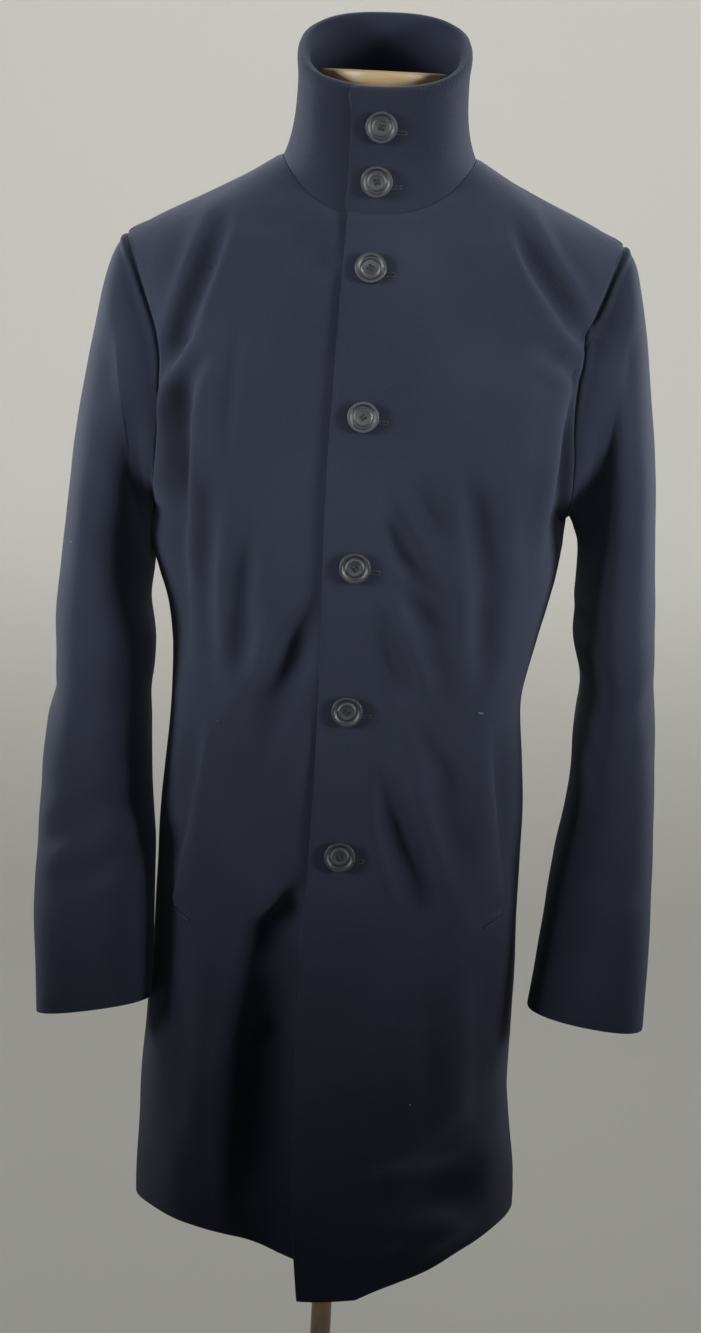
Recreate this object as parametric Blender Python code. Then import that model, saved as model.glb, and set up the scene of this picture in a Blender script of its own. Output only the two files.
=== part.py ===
# An overcoat with a standing collar, buttoned up on a limbless dress form.
# Metres, +Z up, the coat's front faces -Y, and the origin is on the floor under the pole.
# Angles round the body start at the wearer's left side (+X) and pass the front at 90 degrees.

import math

import bmesh
import bpy
import numpy as np
from mathutils import Vector

for old_object in list(bpy.data.objects):
    bpy.data.objects.remove(old_object, do_unlink=True)


def table(columns, *rows):
    """A short table with named columns; the first column is the one it is read by."""
    values = np.array(rows, dtype=float).T
    return dict(zip(columns.split(), values))


# Cloth, seams and clearances
CLOTH = 0.002
COLLAR_CLOTH = 0.0035
SEAM_GAP = 0.0003
SET_IN_GAP = 0.0006
LAP_GAP = 0.0018
WELT_GAP = 0.0009
BUTTON_GAP = 0.0005
COAT_LEAN = 0.022

# Heights of the coat's main points
ARMPIT = 1.150
SHOULDER_TIP = 1.378
FRONT_NECK = 1.403
SIDE_NECK = 1.446
BACK_NECK = 1.462
NECK_HALF_WIDTH = 0.079
NECK_CURVE = 2.7
ARMHOLE_FRONT = 0.066
ARMHOLE_BACK = 0.064
ARMHOLE_SCOOP = 0.22

# Lap of the two fronts: columns of the lap, how far it stays flat and how wide it fades
LAP_STEP = 0.0235
LAP_FLAT = 0.035
LAP_FADE = 0.050
FRONT_EDGE_ANGLE = 97.0

# Softened corner of each shoulder: where it starts, how wide it fades, how much it is evened out
SHOULDER_SOFT_HEIGHT = 1.300
SHOULDER_SOFT_X = 0.110
SHOULDER_SOFT_FADE = 0.040
SHOULDER_SOFT_SHARE = 0.7
SHOULDER_SOFT_ROUNDS = 5

# Rings of the coat's body
BODY = table(
    "height half_width shift front back power",
    (0.480, 0.1660, -0.0020, 0.162, 0.152, 2.00),
    (0.550, 0.1675, -0.0030, 0.158, 0.149, 2.00),
    (0.610, 0.1630, -0.0060, 0.150, 0.143, 2.10),
    (0.660, 0.1600, -0.0080, 0.145, 0.139, 2.20),
    (0.720, 0.1580, -0.0060, 0.141, 0.135, 2.25),
    (0.800, 0.1570, -0.0050, 0.137, 0.130, 2.25),
    (0.900, 0.1540, -0.0050, 0.131, 0.120, 2.25),
    (0.990, 0.1490, -0.0050, 0.127, 0.111, 2.25),
    (1.050, 0.1575, -0.0010, 0.130, 0.112, 2.25),
    (1.100, 0.1700, 0.0000, 0.134, 0.116, 2.25),
    (1.150, 0.1725, 0.0000, 0.136, 0.120, 2.25),
    (1.180, 0.1835, 0.0000, 0.136, 0.122, 2.20),
    (1.220, 0.1905, 0.0000, 0.133, 0.124, 2.20),
    (1.290, 0.1910, 0.0000, 0.123, 0.121, 2.30),
    (1.348, 0.1990, 0.0000, 0.109, 0.113, 2.35),
    (1.378, 0.2050, 0.0000, 0.097, 0.104, 2.15),
    (1.392, 0.1825, 0.0000, 0.090, 0.101, 2.05),
    (1.409, 0.1460, 0.0000, 0.083, 0.097, 2.00),
    (1.422, 0.1180, 0.0000, 0.076, 0.092, 2.00),
    (1.446, 0.0790, 0.0000, 0.062, 0.080, 2.00),
    (1.462, 0.0580, 0.0000, 0.055, 0.072, 2.00),
)

# The left front's edge, from the hem to the neck
FRONT_EDGE = table(
    "height edge_x",
    (0.480, -0.0170),
    (0.620, -0.0290),
    (0.770, -0.0310),
    (0.870, -0.0285),
    (1.000, -0.0265),
    (1.180, -0.0285),
    (1.300, -0.0260),
    (1.403, -0.0225),
)

# Height of the hem round the coat
HEM_FRONT_LEFT = table(
    "angle height",
    (0.0, 0.535),
    (30.0, 0.546),
    (50.0, 0.546),
    (70.0, 0.534),
    (90.0, 0.517),
    (104.0, 0.504),
)
HEM_FRONT_RIGHT = table(
    "angle height",
    (80.0, 0.538),
    (104.0, 0.541),
    (118.0, 0.552),
    (132.0, 0.563),
    (150.0, 0.560),
    (180.0, 0.536),
)
HEM_BACK = table(
    "angle height",
    (-180.0, 0.536),
    (-90.0, 0.536),
    (0.0, 0.535),
)

# Largest folds, as lines seen from the front; troughs have a negative depth
FOLD_END_SHARE = 0.3
FOLD_FREE_BELOW_TIP = 0.008
FOLD_FADE = 0.060
LAP_MIDDLE = -0.004
FOLD_FREE_AT_LAP = 0.022
FOLD_LAP_FADE = 0.028
FOLD_COLUMNS = "top_x top_z low_x low_z half_width depth"
FOLDS_FRONTS = table(
    FOLD_COLUMNS,
    (0.130, 1.395, 0.176, 1.280, 0.018, -0.0070),
    (0.150, 1.300, 0.176, 1.275, 0.012, 0.0035),
    (0.000, 1.200, 0.075, 1.060, 0.018, -0.0080),
    (0.035, 1.005, 0.078, 0.925, 0.018, -0.0060),
    (0.020, 0.940, 0.070, 0.820, 0.018, -0.0100),
    (-0.118, 1.405, -0.168, 1.250, 0.018, -0.0080),
    (-0.148, 1.290, -0.172, 1.250, 0.012, 0.0040),
    (-0.032, 1.090, -0.085, 0.960, 0.018, -0.0080),
    (-0.125, 1.220, -0.125, 1.050, 0.016, -0.0060),
)
FOLDS_LEFT_SKIRT = table(
    FOLD_COLUMNS,
    (0.095, 0.660, 0.115, 0.560, 0.028, -0.0080),
    (0.060, 0.560, 0.120, 0.480, 0.026, 0.0060),
    (-0.020, 0.860, -0.020, 0.380, 0.040, 0.0060),
)
FOLDS_RIGHT_SKIRT = table(
    FOLD_COLUMNS,
    (-0.030, 0.880, -0.072, 0.800, 0.020, -0.0090),
    (-0.055, 0.860, -0.060, 0.360, 0.034, -0.0200),
    (-0.120, 0.800, -0.118, 0.400, 0.026, 0.0050),
)
FOLDS_BACK = table(
    FOLD_COLUMNS,
    (0.125, 1.350, 0.160, 1.210, 0.020, -0.0065),
    (-0.130, 1.340, -0.158, 1.220, 0.020, -0.0060),
    (0.100, 1.120, 0.030, 1.010, 0.020, -0.0055),
    (-0.105, 1.090, -0.035, 0.990, 0.020, -0.0060),
)
FOLDS_BACK_SKIRT = table(
    FOLD_COLUMNS,
    (0.060, 0.880, 0.075, 0.380, 0.035, 0.0080),
    (-0.055, 0.900, -0.075, 0.380, 0.035, 0.0080),
    (0.000, 0.800, 0.002, 0.380, 0.030, -0.0080),
)

# Sleeve rings, from the armhole to the cuff, by their outer and inner points seen from the front
SLEEVE_COLUMNS = "station outer_x outer_z inner_x inner_z half_depth centre_y front_rise power"
SLEEVE_LEFT = table(
    SLEEVE_COLUMNS,
    (0, 0.2050, 1.3780, 0.1725, 1.1503, 0.061, 0.000, 0.000, 2.0),
    (1, 0.2110, 1.3720, 0.1748, 1.1520, 0.064, 0.000, 0.000, 2.0),
    (2, 0.2165, 1.3600, 0.1770, 1.1475, 0.067, 0.001, 0.000, 2.0),
    (3, 0.2215, 1.3380, 0.1790, 1.1410, 0.070, 0.002, 0.000, 2.1),
    (4, 0.2280, 1.3050, 0.1815, 1.1340, 0.073, 0.003, 0.000, 2.1),
    (5, 0.2355, 1.2550, 0.1840, 1.1240, 0.076, 0.005, 0.000, 2.1),
    (6, 0.2430, 1.2000, 0.1850, 1.1100, 0.078, 0.007, 0.000, 2.1),
    (7, 0.2490, 1.1400, 0.1850, 1.0850, 0.079, 0.008, 0.000, 2.1),
    (8, 0.2545, 1.0700, 0.1855, 1.0430, 0.078, 0.006, 0.000, 2.1),
    (9, 0.2600, 0.9950, 0.1925, 0.9900, 0.076, 0.002, 0.000, 2.2),
    (10, 0.2630, 0.9250, 0.1870, 0.9300, 0.071, -0.006, 0.002, 2.2),
    (11, 0.2650, 0.8550, 0.1765, 0.8620, 0.065, -0.017, 0.005, 2.2),
    (12, 0.2650, 0.7840, 0.1685, 0.7950, 0.058, -0.030, 0.005, 2.3),
    (13, 0.2630, 0.7170, 0.1635, 0.7340, 0.050, -0.044, 0.006, 2.3),
)
SLEEVE_RIGHT = table(
    SLEEVE_COLUMNS,
    (0, 0.2050, 1.3780, 0.1725, 1.1503, 0.061, 0.000, 0.000, 2.0),
    (1, 0.2110, 1.3710, 0.1745, 1.1515, 0.064, 0.000, 0.000, 2.0),
    (2, 0.2165, 1.3590, 0.1765, 1.1460, 0.067, 0.001, 0.000, 2.0),
    (3, 0.2225, 1.3370, 0.1775, 1.1380, 0.070, 0.002, 0.000, 2.1),
    (4, 0.2290, 1.3030, 0.1785, 1.1290, 0.073, 0.003, 0.000, 2.1),
    (5, 0.2370, 1.2550, 0.1790, 1.1170, 0.076, 0.005, 0.000, 2.1),
    (6, 0.2450, 1.2000, 0.1790, 1.1000, 0.078, 0.007, 0.000, 2.1),
    (7, 0.2500, 1.1350, 0.1785, 1.0700, 0.079, 0.008, 0.000, 2.1),
    (8, 0.2545, 1.0600, 0.1720, 1.0300, 0.078, 0.006, 0.000, 2.1),
    (9, 0.2585, 0.9850, 0.1725, 0.9830, 0.076, 0.002, 0.000, 2.2),
    (10, 0.2610, 0.9200, 0.1705, 0.9220, 0.071, -0.008, 0.002, 2.2),
    (11, 0.2620, 0.8520, 0.1665, 0.8570, 0.065, -0.022, 0.005, 2.2),
    (12, 0.2600, 0.7870, 0.1640, 0.7950, 0.058, -0.040, 0.008, 2.3),
    (13, 0.2560, 0.7230, 0.1595, 0.7390, 0.050, -0.056, 0.010, 2.3),
)

# Rings crowd towards the armhole, leave its edge by one station and start to crease at another
SLEEVE_EVEN_SHARE = 0.8
SLEEVE_CROWDING = 1.5
SLEEVE_SET_IN_END = 3.0
SLEEVE_CREASE_START = 1.0
SLEEVE_CREASE_FADE = 2.0

# Sleeve creases: place along the sleeve, place round it in degrees (0 outside, 90 front), size
SLEEVE_FOLD_COLUMNS = "station angle slant half_station half_angle depth"
SLEEVE_FOLDS_LEFT = table(
    SLEEVE_FOLD_COLUMNS,
    (3.5, 60.0, 20.0, 1.6, 22.0, -0.0050),
    (8.6, 150.0, -30.0, 0.5, 50.0, -0.0060),
    (10.4, 95.0, 25.0, 0.5, 45.0, -0.0040),
)
SLEEVE_FOLDS_RIGHT = table(
    SLEEVE_FOLD_COLUMNS,
    (3.5, 60.0, 20.0, 1.6, 22.0, -0.0050),
    (8.8, 20.0, 25.0, 0.5, 50.0, -0.0060),
    (10.8, 80.0, -25.0, 0.5, 45.0, -0.0050),
)

# Collar
COLLAR_HALF_WIDTH = 0.0695
COLLAR_FRONT = 0.0870
COLLAR_BACK = 0.0780
COLLAR_TOP_FRONT = 1.498
COLLAR_TOP_SLOPE = 0.385
COLLAR_UNDER_DROP = 0.004
COLLAR_EASE = 4.0
COLLAR_LAP_SHARE = 0.20
COLLAR_LAP_FADE = 0.15
COLLAR_UNDER_SHARE = 0.16

# Buttons, down the front
BUTTON_RADIUS = 0.0125
BUTTON_HEIGHT = 0.0045
BUTTON_EDGE = 0.0012
BUTTON_DISH_RADIUS = 0.0082
BUTTON_DISH_DEPTH = 0.0014
BUTTON_SEAT_RADIUS = 0.01625
BUTTON_SIDES = 20
BUTTON_TILT_REACH = 0.4
BUTTON_SEEK_COLUMN = 1.0
BUTTONS = table(
    "number height x",
    (1, 1.469, 0.0000),
    (2, 1.427, -0.0015),
    (3, 1.360, -0.0030),
    (4, 1.246, -0.0030),
    (5, 1.127, -0.0035),
    (6, 1.008, -0.0040),
    (7, 0.887, -0.0040),
)

# Slanted pocket welts, by the ends of their free edge seen from the front
WELT_THICKNESS = 0.002
WELT_WIDTH = 0.030
WELT_SEEK_ROW_SHARE = 0.65
WELT_SEEK_COLUMN = 8.0
WELT_LEFT = {"top_x": 0.1080, "top_z": 1.000, "low_x": 0.1330, "low_z": 0.822}
WELT_RIGHT = {"top_x": -0.1120, "top_z": 0.988, "low_x": -0.1400, "low_z": 0.822}

# Dress form
FORM_DROP = 0.0052
FORM_SIDES = 28
FORM_LEAN_START = 1.000
FORM_LEAN_FADE = 0.200
FORM_LEAN_END = 1.475
FORM_NECK_FADE = 0.030
FORM = table(
    "height half_width front back power",
    (0.790, 0.1300, 0.108, 0.102, 2.2),
    (0.800, 0.1385, 0.117, 0.110, 2.2),
    (0.850, 0.1400, 0.116, 0.109, 2.2),
    (0.920, 0.1350, 0.110, 0.102, 2.2),
    (0.990, 0.1280, 0.105, 0.092, 2.2),
    (1.050, 0.1360, 0.112, 0.096, 2.2),
    (1.100, 0.1470, 0.119, 0.102, 2.2),
    (1.150, 0.1530, 0.124, 0.108, 2.2),
    (1.250, 0.1590, 0.117, 0.114, 2.2),
    (1.320, 0.1560, 0.104, 0.108, 2.1),
    (1.355, 0.1560, 0.090, 0.092, 2.1),
    (1.372, 0.1560, 0.080, 0.082, 2.0),
    (1.400, 0.1560, 0.062, 0.068, 2.0),
    (1.440, 0.1000, 0.050, 0.064, 2.0),
    (1.455, 0.0640, 0.050, 0.060, 2.0),
    (1.475, 0.0560, 0.052, 0.054, 2.0),
    (1.497, 0.0530, 0.053, 0.053, 2.0),
)
FORM_HEIGHTS = (0.790, 0.800, 0.850, 0.920, 0.990, 1.045, 1.100, 1.150, 1.205, 1.260, 1.310)
FORM_HEIGHTS += (1.345, 1.362, 1.3745, 1.3840, 1.3945, 1.4060, 1.4190, 1.4310, 1.4430, 1.4560, 1.4750, 1.4970)
CAP_RADIUS = 0.051
CAP_TOP = 1.5125
CAP_EDGE = 0.002
POLE_RADIUS = 0.009
BASE_RADIUS = 0.160
BASE_THICKNESS = 0.008
BASE_EDGE = 0.002
HUB_RADIUS = 0.024
HUB_TOP = 0.045
TURNED_SIDES = 40

# Grid counts
LOWER_ROWS = 18
UPPER_ROWS = 12
NECK_ROW = 7
FRONT_COLUMNS = 15
LAP_COLUMNS = 2
BACK_COLUMNS = 22
BACK_SEAM_COLUMNS = 7
SLEEVE_SIDES = 2 * UPPER_ROWS
SLEEVE_RINGS = 22
COLLAR_ROWS = 5
WELT_ROWS = 8
WELT_COLUMNS = 4
SEEK_STEPS = 12
SEEK_REACH = 0.5
PROBE_STEPS = 8
SMOOTH_ANGLE = math.radians(40)


def material(name, colour, roughness, metallic=0.0):
    made = bpy.data.materials.new(name)
    made.use_nodes = True
    shader = made.node_tree.nodes["Principled BSDF"]
    shader.inputs["Base Color"].default_value = (*colour, 1.0)
    shader.inputs["Roughness"].default_value = roughness
    shader.inputs["Metallic"].default_value = metallic
    return made


COAT_CLOTH = material("coat_cloth", (0.020, 0.023, 0.034), 0.85)
BUTTON_HORN = material("button_horn", (0.012, 0.014, 0.020), 0.35)
FORM_COVER = material("form_cover", (0.42, 0.37, 0.30), 0.90)
PALE_WOOD = material("pale_wood", (0.45, 0.33, 0.18), 0.55)
BRONZED_STEEL = material("bronzed_steel", (0.075, 0.052, 0.032), 0.45, 0.8)


def along(rows, column, at):
    """One column of a table as a smooth curve that never overshoots its rows."""
    keys = next(iter(rows.values()))
    values = rows[column]
    steps = np.diff(keys)
    slopes = np.diff(values) / steps
    products = slopes[:-1] * slopes[1:]
    sums = np.where(products > 0, slopes[:-1] + slopes[1:], 1.0)
    inner = np.where(products > 0, 2 * products / sums, 0.0)
    tangents = np.concatenate([slopes[:1], inner, slopes[-1:]])
    at = np.clip(np.asarray(at, dtype=float), keys[0], keys[-1])
    cell = np.clip(np.searchsorted(keys, at) - 1, 0, len(steps) - 1)
    t = (at - keys[cell]) / steps[cell]
    start = (1 + 2 * t) * (1 - t) ** 2 * values[cell] + t * (1 - t) ** 2 * steps[cell] * tangents[cell]
    end = t * t * (3 - 2 * t) * values[cell + 1] + t * t * (t - 1) * steps[cell] * tangents[cell + 1]
    return start + end


def ease(t):
    t = np.clip(t, 0.0, 1.0)
    return t * t * (3 - 2 * t)


def unit(vectors):
    return vectors / np.linalg.norm(vectors, axis=-1, keepdims=True)


def ring_point(z, angle):
    """The coat's body with no folds, at a height and an angle."""
    power = 2 / along(BODY, "power", z)
    across, ahead = np.cos(angle), np.sin(angle)
    depth = np.where(ahead > 0, -along(BODY, "front", z), along(BODY, "back", z))
    x = along(BODY, "shift", z) + along(BODY, "half_width", z) * np.sign(across) * np.abs(across) ** power
    y = depth * np.abs(ahead) ** power
    return np.stack([x, y, z + 0.0 * x], axis=-1)


def angle_at_x(z, x, facing):
    """The angle of a point seen from the front (facing 1) or the back (facing -1)."""
    reach = (x - along(BODY, "shift", z)) / along(BODY, "half_width", z)
    reach = np.clip(reach, -1.0, 1.0)
    return facing * np.arccos(np.sign(reach) * np.abs(reach) ** (along(BODY, "power", z) / 2))


def angle_at_depth(z, depth, facing, side):
    """The angle of a point at a distance in front of or behind the side line."""
    full = along(BODY, "front" if facing > 0 else "back", z)
    turn = np.arcsin(np.clip(depth / full, 0.0, 1.0) ** (along(BODY, "power", z) / 2))
    return facing * (turn if side > 0 else np.pi - turn)


def normals_of(point, z, angle):
    """Outward normals of a surface given by height and angle."""
    rise, turn = 0.006, 0.020
    up = point(z + rise, angle) - point(z - rise, angle)
    around = point(z, angle + turn) - point(z, angle - turn)
    return unit(np.cross(up, around))


def fold_height(folds, x, z):
    """How far the folds stand out of or sink into the cloth at a point seen from the front."""
    total = np.zeros(np.broadcast(x, z).shape)
    for top_x, top_z, low_x, low_z, half_width, depth in zip(*folds.values()):
        run_x, run_z = low_x - top_x, low_z - top_z
        length = math.hypot(run_x, run_z)
        place = ((x - top_x) * run_x + (z - top_z) * run_z) / length**2
        aside = ((x - top_x) * run_z - (z - top_z) * run_x) / length
        ends = ease(place / FOLD_END_SHARE) * ease((1 - place) / FOLD_END_SHARE)
        total = total + depth * ends * np.exp(-((aside / half_width) ** 2))
    return total


PANELS = {
    "front_left": {"lap": 1, "folds": FOLDS_FRONTS, "skirt": FOLDS_LEFT_SKIRT, "hem": HEM_FRONT_LEFT},
    "front_right": {"lap": -1, "folds": FOLDS_FRONTS, "skirt": FOLDS_RIGHT_SKIRT, "hem": HEM_FRONT_RIGHT},
    "back": {"lap": 0, "folds": FOLDS_BACK, "skirt": FOLDS_BACK_SKIRT, "hem": HEM_BACK},
}


def panel_surface(name):
    """The outer surface of a panel: the body ring, set out or in at the lap, with its folds."""
    panel = PANELS[name]

    def point(z, angle):
        z = np.asarray(z, dtype=float)
        plain = ring_point(z, angle)
        x = plain[..., 0]
        lap = panel["lap"] * 0.5 * (CLOTH + LAP_GAP) * (1 - ease((np.abs(x) - LAP_FLAT) / LAP_FADE))
        calm = ease((SHOULDER_TIP - FOLD_FREE_BELOW_TIP - z) / FOLD_FADE)
        if panel["lap"]:
            calm = calm * ease((np.abs(x - LAP_MIDDLE) - FOLD_FREE_AT_LAP) / FOLD_LAP_FADE)
        out = lap + calm * fold_height(panel["folds"], x, z) + fold_height(panel["skirt"], x, z)
        return plain + out[..., None] * normals_of(ring_point, z, angle)

    return point


def neckline(x):
    """Height of the front neckline, and of the back one, at a distance from the middle."""
    share = np.abs(x) / NECK_HALF_WIDTH
    front = FRONT_NECK + (SIDE_NECK - FRONT_NECK) * share**NECK_CURVE
    back = BACK_NECK - (BACK_NECK - SIDE_NECK) * share**2
    return front, back


def armhole(share, facing, side):
    """Height and angle on the armhole, from the armpit (0) to the shoulder tip (1)."""
    turn = math.pi * np.asarray(share, dtype=float)
    middle = 0.5 * (ARMPIT + SHOULDER_TIP)
    z = middle - 0.5 * (SHOULDER_TIP - ARMPIT) * np.cos(turn)
    widest = ARMHOLE_FRONT if facing > 0 else ARMHOLE_BACK
    depth = widest * np.sin(turn) * (1 + ARMHOLE_SCOOP * np.cos(turn))
    return z, angle_at_depth(z, np.maximum(depth, SEAM_GAP / 2), facing, side)


def front_rows(name, side):
    """Heights and angles of a front panel's grid: rows from hem to shoulder, columns from its edge."""
    columns = np.arange(FRONT_COLUMNS + 1)
    lap = columns[: LAP_COLUMNS + 1]
    share = np.clip((columns - LAP_COLUMNS) / (FRONT_COLUMNS - LAP_COLUMNS), 0.0, 1.0)
    steps = lap if side > 0 else LAP_COLUMNS - lap
    side_angle = 0.0 if side > 0 else 180.0
    hem_angle = FRONT_EDGE_ANGLE + (side_angle - FRONT_EDGE_ANGLE) * share
    hem = along(PANELS[name]["hem"], "height", hem_angle)

    def lap_angles(z):
        return angle_at_x(z, along(FRONT_EDGE, "edge_x", z) + LAP_STEP * steps, 1)

    heights, angles = [], []
    for row in range(LOWER_ROWS):
        z = hem + (ARMPIT - hem) * row / LOWER_ROWS
        angle = np.empty(len(columns))
        angle[: LAP_COLUMNS + 1] = lap_angles(z[: LAP_COLUMNS + 1])
        seam = angle_at_depth(z, SEAM_GAP / 2, 1, side)
        onwards = angle[LAP_COLUMNS] + (seam - angle[LAP_COLUMNS]) * share
        angle = np.where(share > 0, onwards, angle)
        heights.append(z)
        angles.append(angle)
    start_x = float(along(FRONT_EDGE, "edge_x", FRONT_NECK)) + LAP_STEP * steps[0]
    neck_start = math.asin(start_x / NECK_HALF_WIDTH)
    for row in range(UPPER_ROWS + 1):
        outer_z, outer_angle = armhole(row / UPPER_ROWS, 1, side)
        if row <= NECK_ROW:
            inner_z = ARMPIT + (FRONT_NECK - ARMPIT) * row / NECK_ROW
            z = inner_z + (outer_z - inner_z) * share
            angle = np.empty(len(columns))
            angle[: LAP_COLUMNS + 1] = lap_angles(z[: LAP_COLUMNS + 1])
            onwards = angle[LAP_COLUMNS] + (outer_angle - angle[LAP_COLUMNS]) * share
            angle = np.where(share > 0, onwards, angle)
            even = (angle - angle[0]) / (angle[-1] - angle[0])
        else:
            way = (row - NECK_ROW) / (UPPER_ROWS - NECK_ROW)
            x = NECK_HALF_WIDTH * math.sin(neck_start + (side * math.pi / 2 - neck_start) * way)
            inner_z = neckline(x)[0]
            inner_angle = angle_at_x(inner_z, x, 1)
            if row == UPPER_ROWS:
                inner_angle = angle_at_depth(inner_z, SEAM_GAP / 2, 1, side)
            spread = even + (columns / FRONT_COLUMNS - even) * way
            z = inner_z + (outer_z - inner_z) * spread
            angle = inner_angle + (outer_angle - inner_angle) * spread
            if row == UPPER_ROWS:
                angle = angle_at_depth(z, SEAM_GAP / 2, 1, side)
        heights.append(z)
        angles.append(angle)
    return np.array(heights), np.array(angles)


def back_rows():
    """Heights and angles of the back panel's grid: rows from hem to shoulders and neck, left to right."""
    share = np.arange(BACK_COLUMNS + 1) / BACK_COLUMNS
    hem = along(HEM_BACK, "height", -180.0 * share)

    def level(z):
        first = angle_at_depth(z, SEAM_GAP / 2, -1, 1)
        last = angle_at_depth(z, SEAM_GAP / 2, -1, -1)
        return first + (last - first) * share

    heights = [hem + (ARMPIT - hem) * row / LOWER_ROWS for row in range(LOWER_ROWS)]
    angles = [level(z) for z in heights]
    low_z = np.full(BACK_COLUMNS + 1, ARMPIT)
    low_angle = level(low_z)
    seam_z = SHOULDER_TIP + (SIDE_NECK - SHOULDER_TIP) * np.arange(BACK_SEAM_COLUMNS + 1) / BACK_SEAM_COLUMNS
    neck_columns = BACK_COLUMNS - 2 * BACK_SEAM_COLUMNS
    neck_x = NECK_HALF_WIDTH * np.cos(np.pi * np.arange(1, neck_columns) / neck_columns)
    neck_z = neckline(neck_x)[1]
    top_z = np.concatenate([seam_z, neck_z, seam_z[::-1]])
    top_angle = np.concatenate(
        [
            angle_at_depth(seam_z, SEAM_GAP / 2, -1, 1),
            angle_at_x(neck_z, neck_x, -1),
            angle_at_depth(seam_z[::-1], SEAM_GAP / 2, -1, -1),
        ]
    )
    for row in range(UPPER_ROWS + 1):
        way = row / UPPER_ROWS
        left_z, left_angle = armhole(way, -1, 1)
        right_z, right_angle = armhole(way, -1, -1)
        z = low_z + (top_z - low_z) * way
        angle = low_angle + (top_angle - low_angle) * way
        z = z + (left_z - z[0]) * (1 - share) + (right_z - z[-1]) * share
        angle = angle + (left_angle - angle[0]) * (1 - share) + (right_angle - angle[-1]) * share
        heights.append(z)
        angles.append(angle)
    return np.array(heights), np.array(angles)


def softened(points):
    """A panel's grid with the points near the shoulder tips drawn towards the middle of their neighbours."""
    soft = np.array(points)
    for _ in range(SHOULDER_SOFT_ROUNDS):
        here = soft[1:-1, 1:-1]
        middle = 0.25 * (soft[2:, 1:-1] + soft[:-2, 1:-1] + soft[1:-1, 2:] + soft[1:-1, :-2])
        share = ease((here[..., 2:] - SHOULDER_SOFT_HEIGHT) / SHOULDER_SOFT_FADE)
        share = share * ease((np.abs(here[..., :1]) - SHOULDER_SOFT_X) / SHOULDER_SOFT_FADE)
        soft[1:-1, 1:-1] = here + SHOULDER_SOFT_SHARE * share * (middle - here)
    return soft


def leaned(points):
    """The coat hangs a little off level: its left side is higher than its right."""
    moved = np.array(points, dtype=float)
    moved[..., 2] += COAT_LEAN * moved[..., 0]
    return moved


def make_object(name, mesh, finish):
    made = bpy.data.objects.new(name, mesh)
    made.data.materials.append(finish)
    bpy.context.scene.collection.objects.link(made)
    return made


def wall(name, outer, inner, finish, closed=False):
    """A cloth wall between two grids of points; a closed one joins its last column to its first."""
    rows, columns = outer.shape[:2]
    body = bmesh.new()
    faces = [[[body.verts.new(p) for p in row] for row in grid] for grid in (outer, inner)]
    spans = columns if closed else columns - 1
    for grid in faces:
        for i in range(rows - 1):
            for j in range(spans):
                k = (j + 1) % columns
                body.faces.new((grid[i][j], grid[i][k], grid[i + 1][k], grid[i + 1][j]))
    for i in (0, rows - 1):
        for j in range(spans):
            k = (j + 1) % columns
            body.faces.new((faces[0][i][j], faces[0][i][k], faces[1][i][k], faces[1][i][j]))
    if not closed:
        for j in (0, columns - 1):
            for i in range(rows - 1):
                body.faces.new((faces[0][i][j], faces[0][i + 1][j], faces[1][i + 1][j], faces[1][i][j]))
    bmesh.ops.recalc_face_normals(body, faces=body.faces)
    mesh = bpy.data.meshes.new(name)
    body.to_mesh(mesh)
    body.free()
    mesh.shade_smooth()
    mesh.set_sharp_from_angle(angle=SMOOTH_ANGLE)
    return make_object(name, mesh, finish)


def turned(name, profile, sides, finish):
    """A piece turned about Z from a profile of radius and height, closed on the axis at both ends."""
    body = bmesh.new()
    points = [body.verts.new((radius, 0.0, z)) for radius, z in profile]
    edges = [body.edges.new(pair) for pair in zip(points[:-1], points[1:])]
    bmesh.ops.spin(
        body, geom=points + edges, cent=(0, 0, 0), axis=(0, 0, 1), angle=math.tau, steps=sides, use_merge=True
    )
    bmesh.ops.remove_doubles(body, verts=body.verts, dist=0.00001)
    bmesh.ops.recalc_face_normals(body, faces=body.faces)
    mesh = bpy.data.meshes.new(name)
    body.to_mesh(mesh)
    body.free()
    mesh.shade_smooth()
    mesh.set_sharp_from_angle(angle=SMOOTH_ANGLE)
    return make_object(name, mesh, finish) if finish else mesh


# Body panels
GRIDS = {}
for panel_name, panel_rows in (
    ("front_left", front_rows("front_left", 1)),
    ("front_right", front_rows("front_right", -1)),
    ("back", back_rows()),
):
    surface = panel_surface(panel_name)
    outside = softened(surface(*panel_rows))
    facing_out = normals_of(surface, *panel_rows)
    GRIDS[panel_name] = {"outer": outside, "normal": facing_out, "inner": outside - CLOTH * facing_out}
    wall(panel_name, leaned(outside), leaned(GRIDS[panel_name]["inner"]), COAT_CLOTH)


def panel_edge(name, picks):
    """Outer points, inner points and normals of a panel at a run of grid places."""
    grid = GRIDS[name]
    return [np.array([grid[kind][i, j] for i, j in picks]) for kind in ("outer", "inner", "normal")]


def joined_edges(parts):
    """Runs of edge points end to end, with the points where two panels meet made one."""
    merged = parts[0]
    for part in parts[1:]:
        shared = [0.5 * (a[-1:] + b[:1]) for a, b in zip(merged, part)]
        merged = [np.concatenate([a[:-1], s, b[1:]]) for a, s, b in zip(merged, shared, part)]
    return merged


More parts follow.
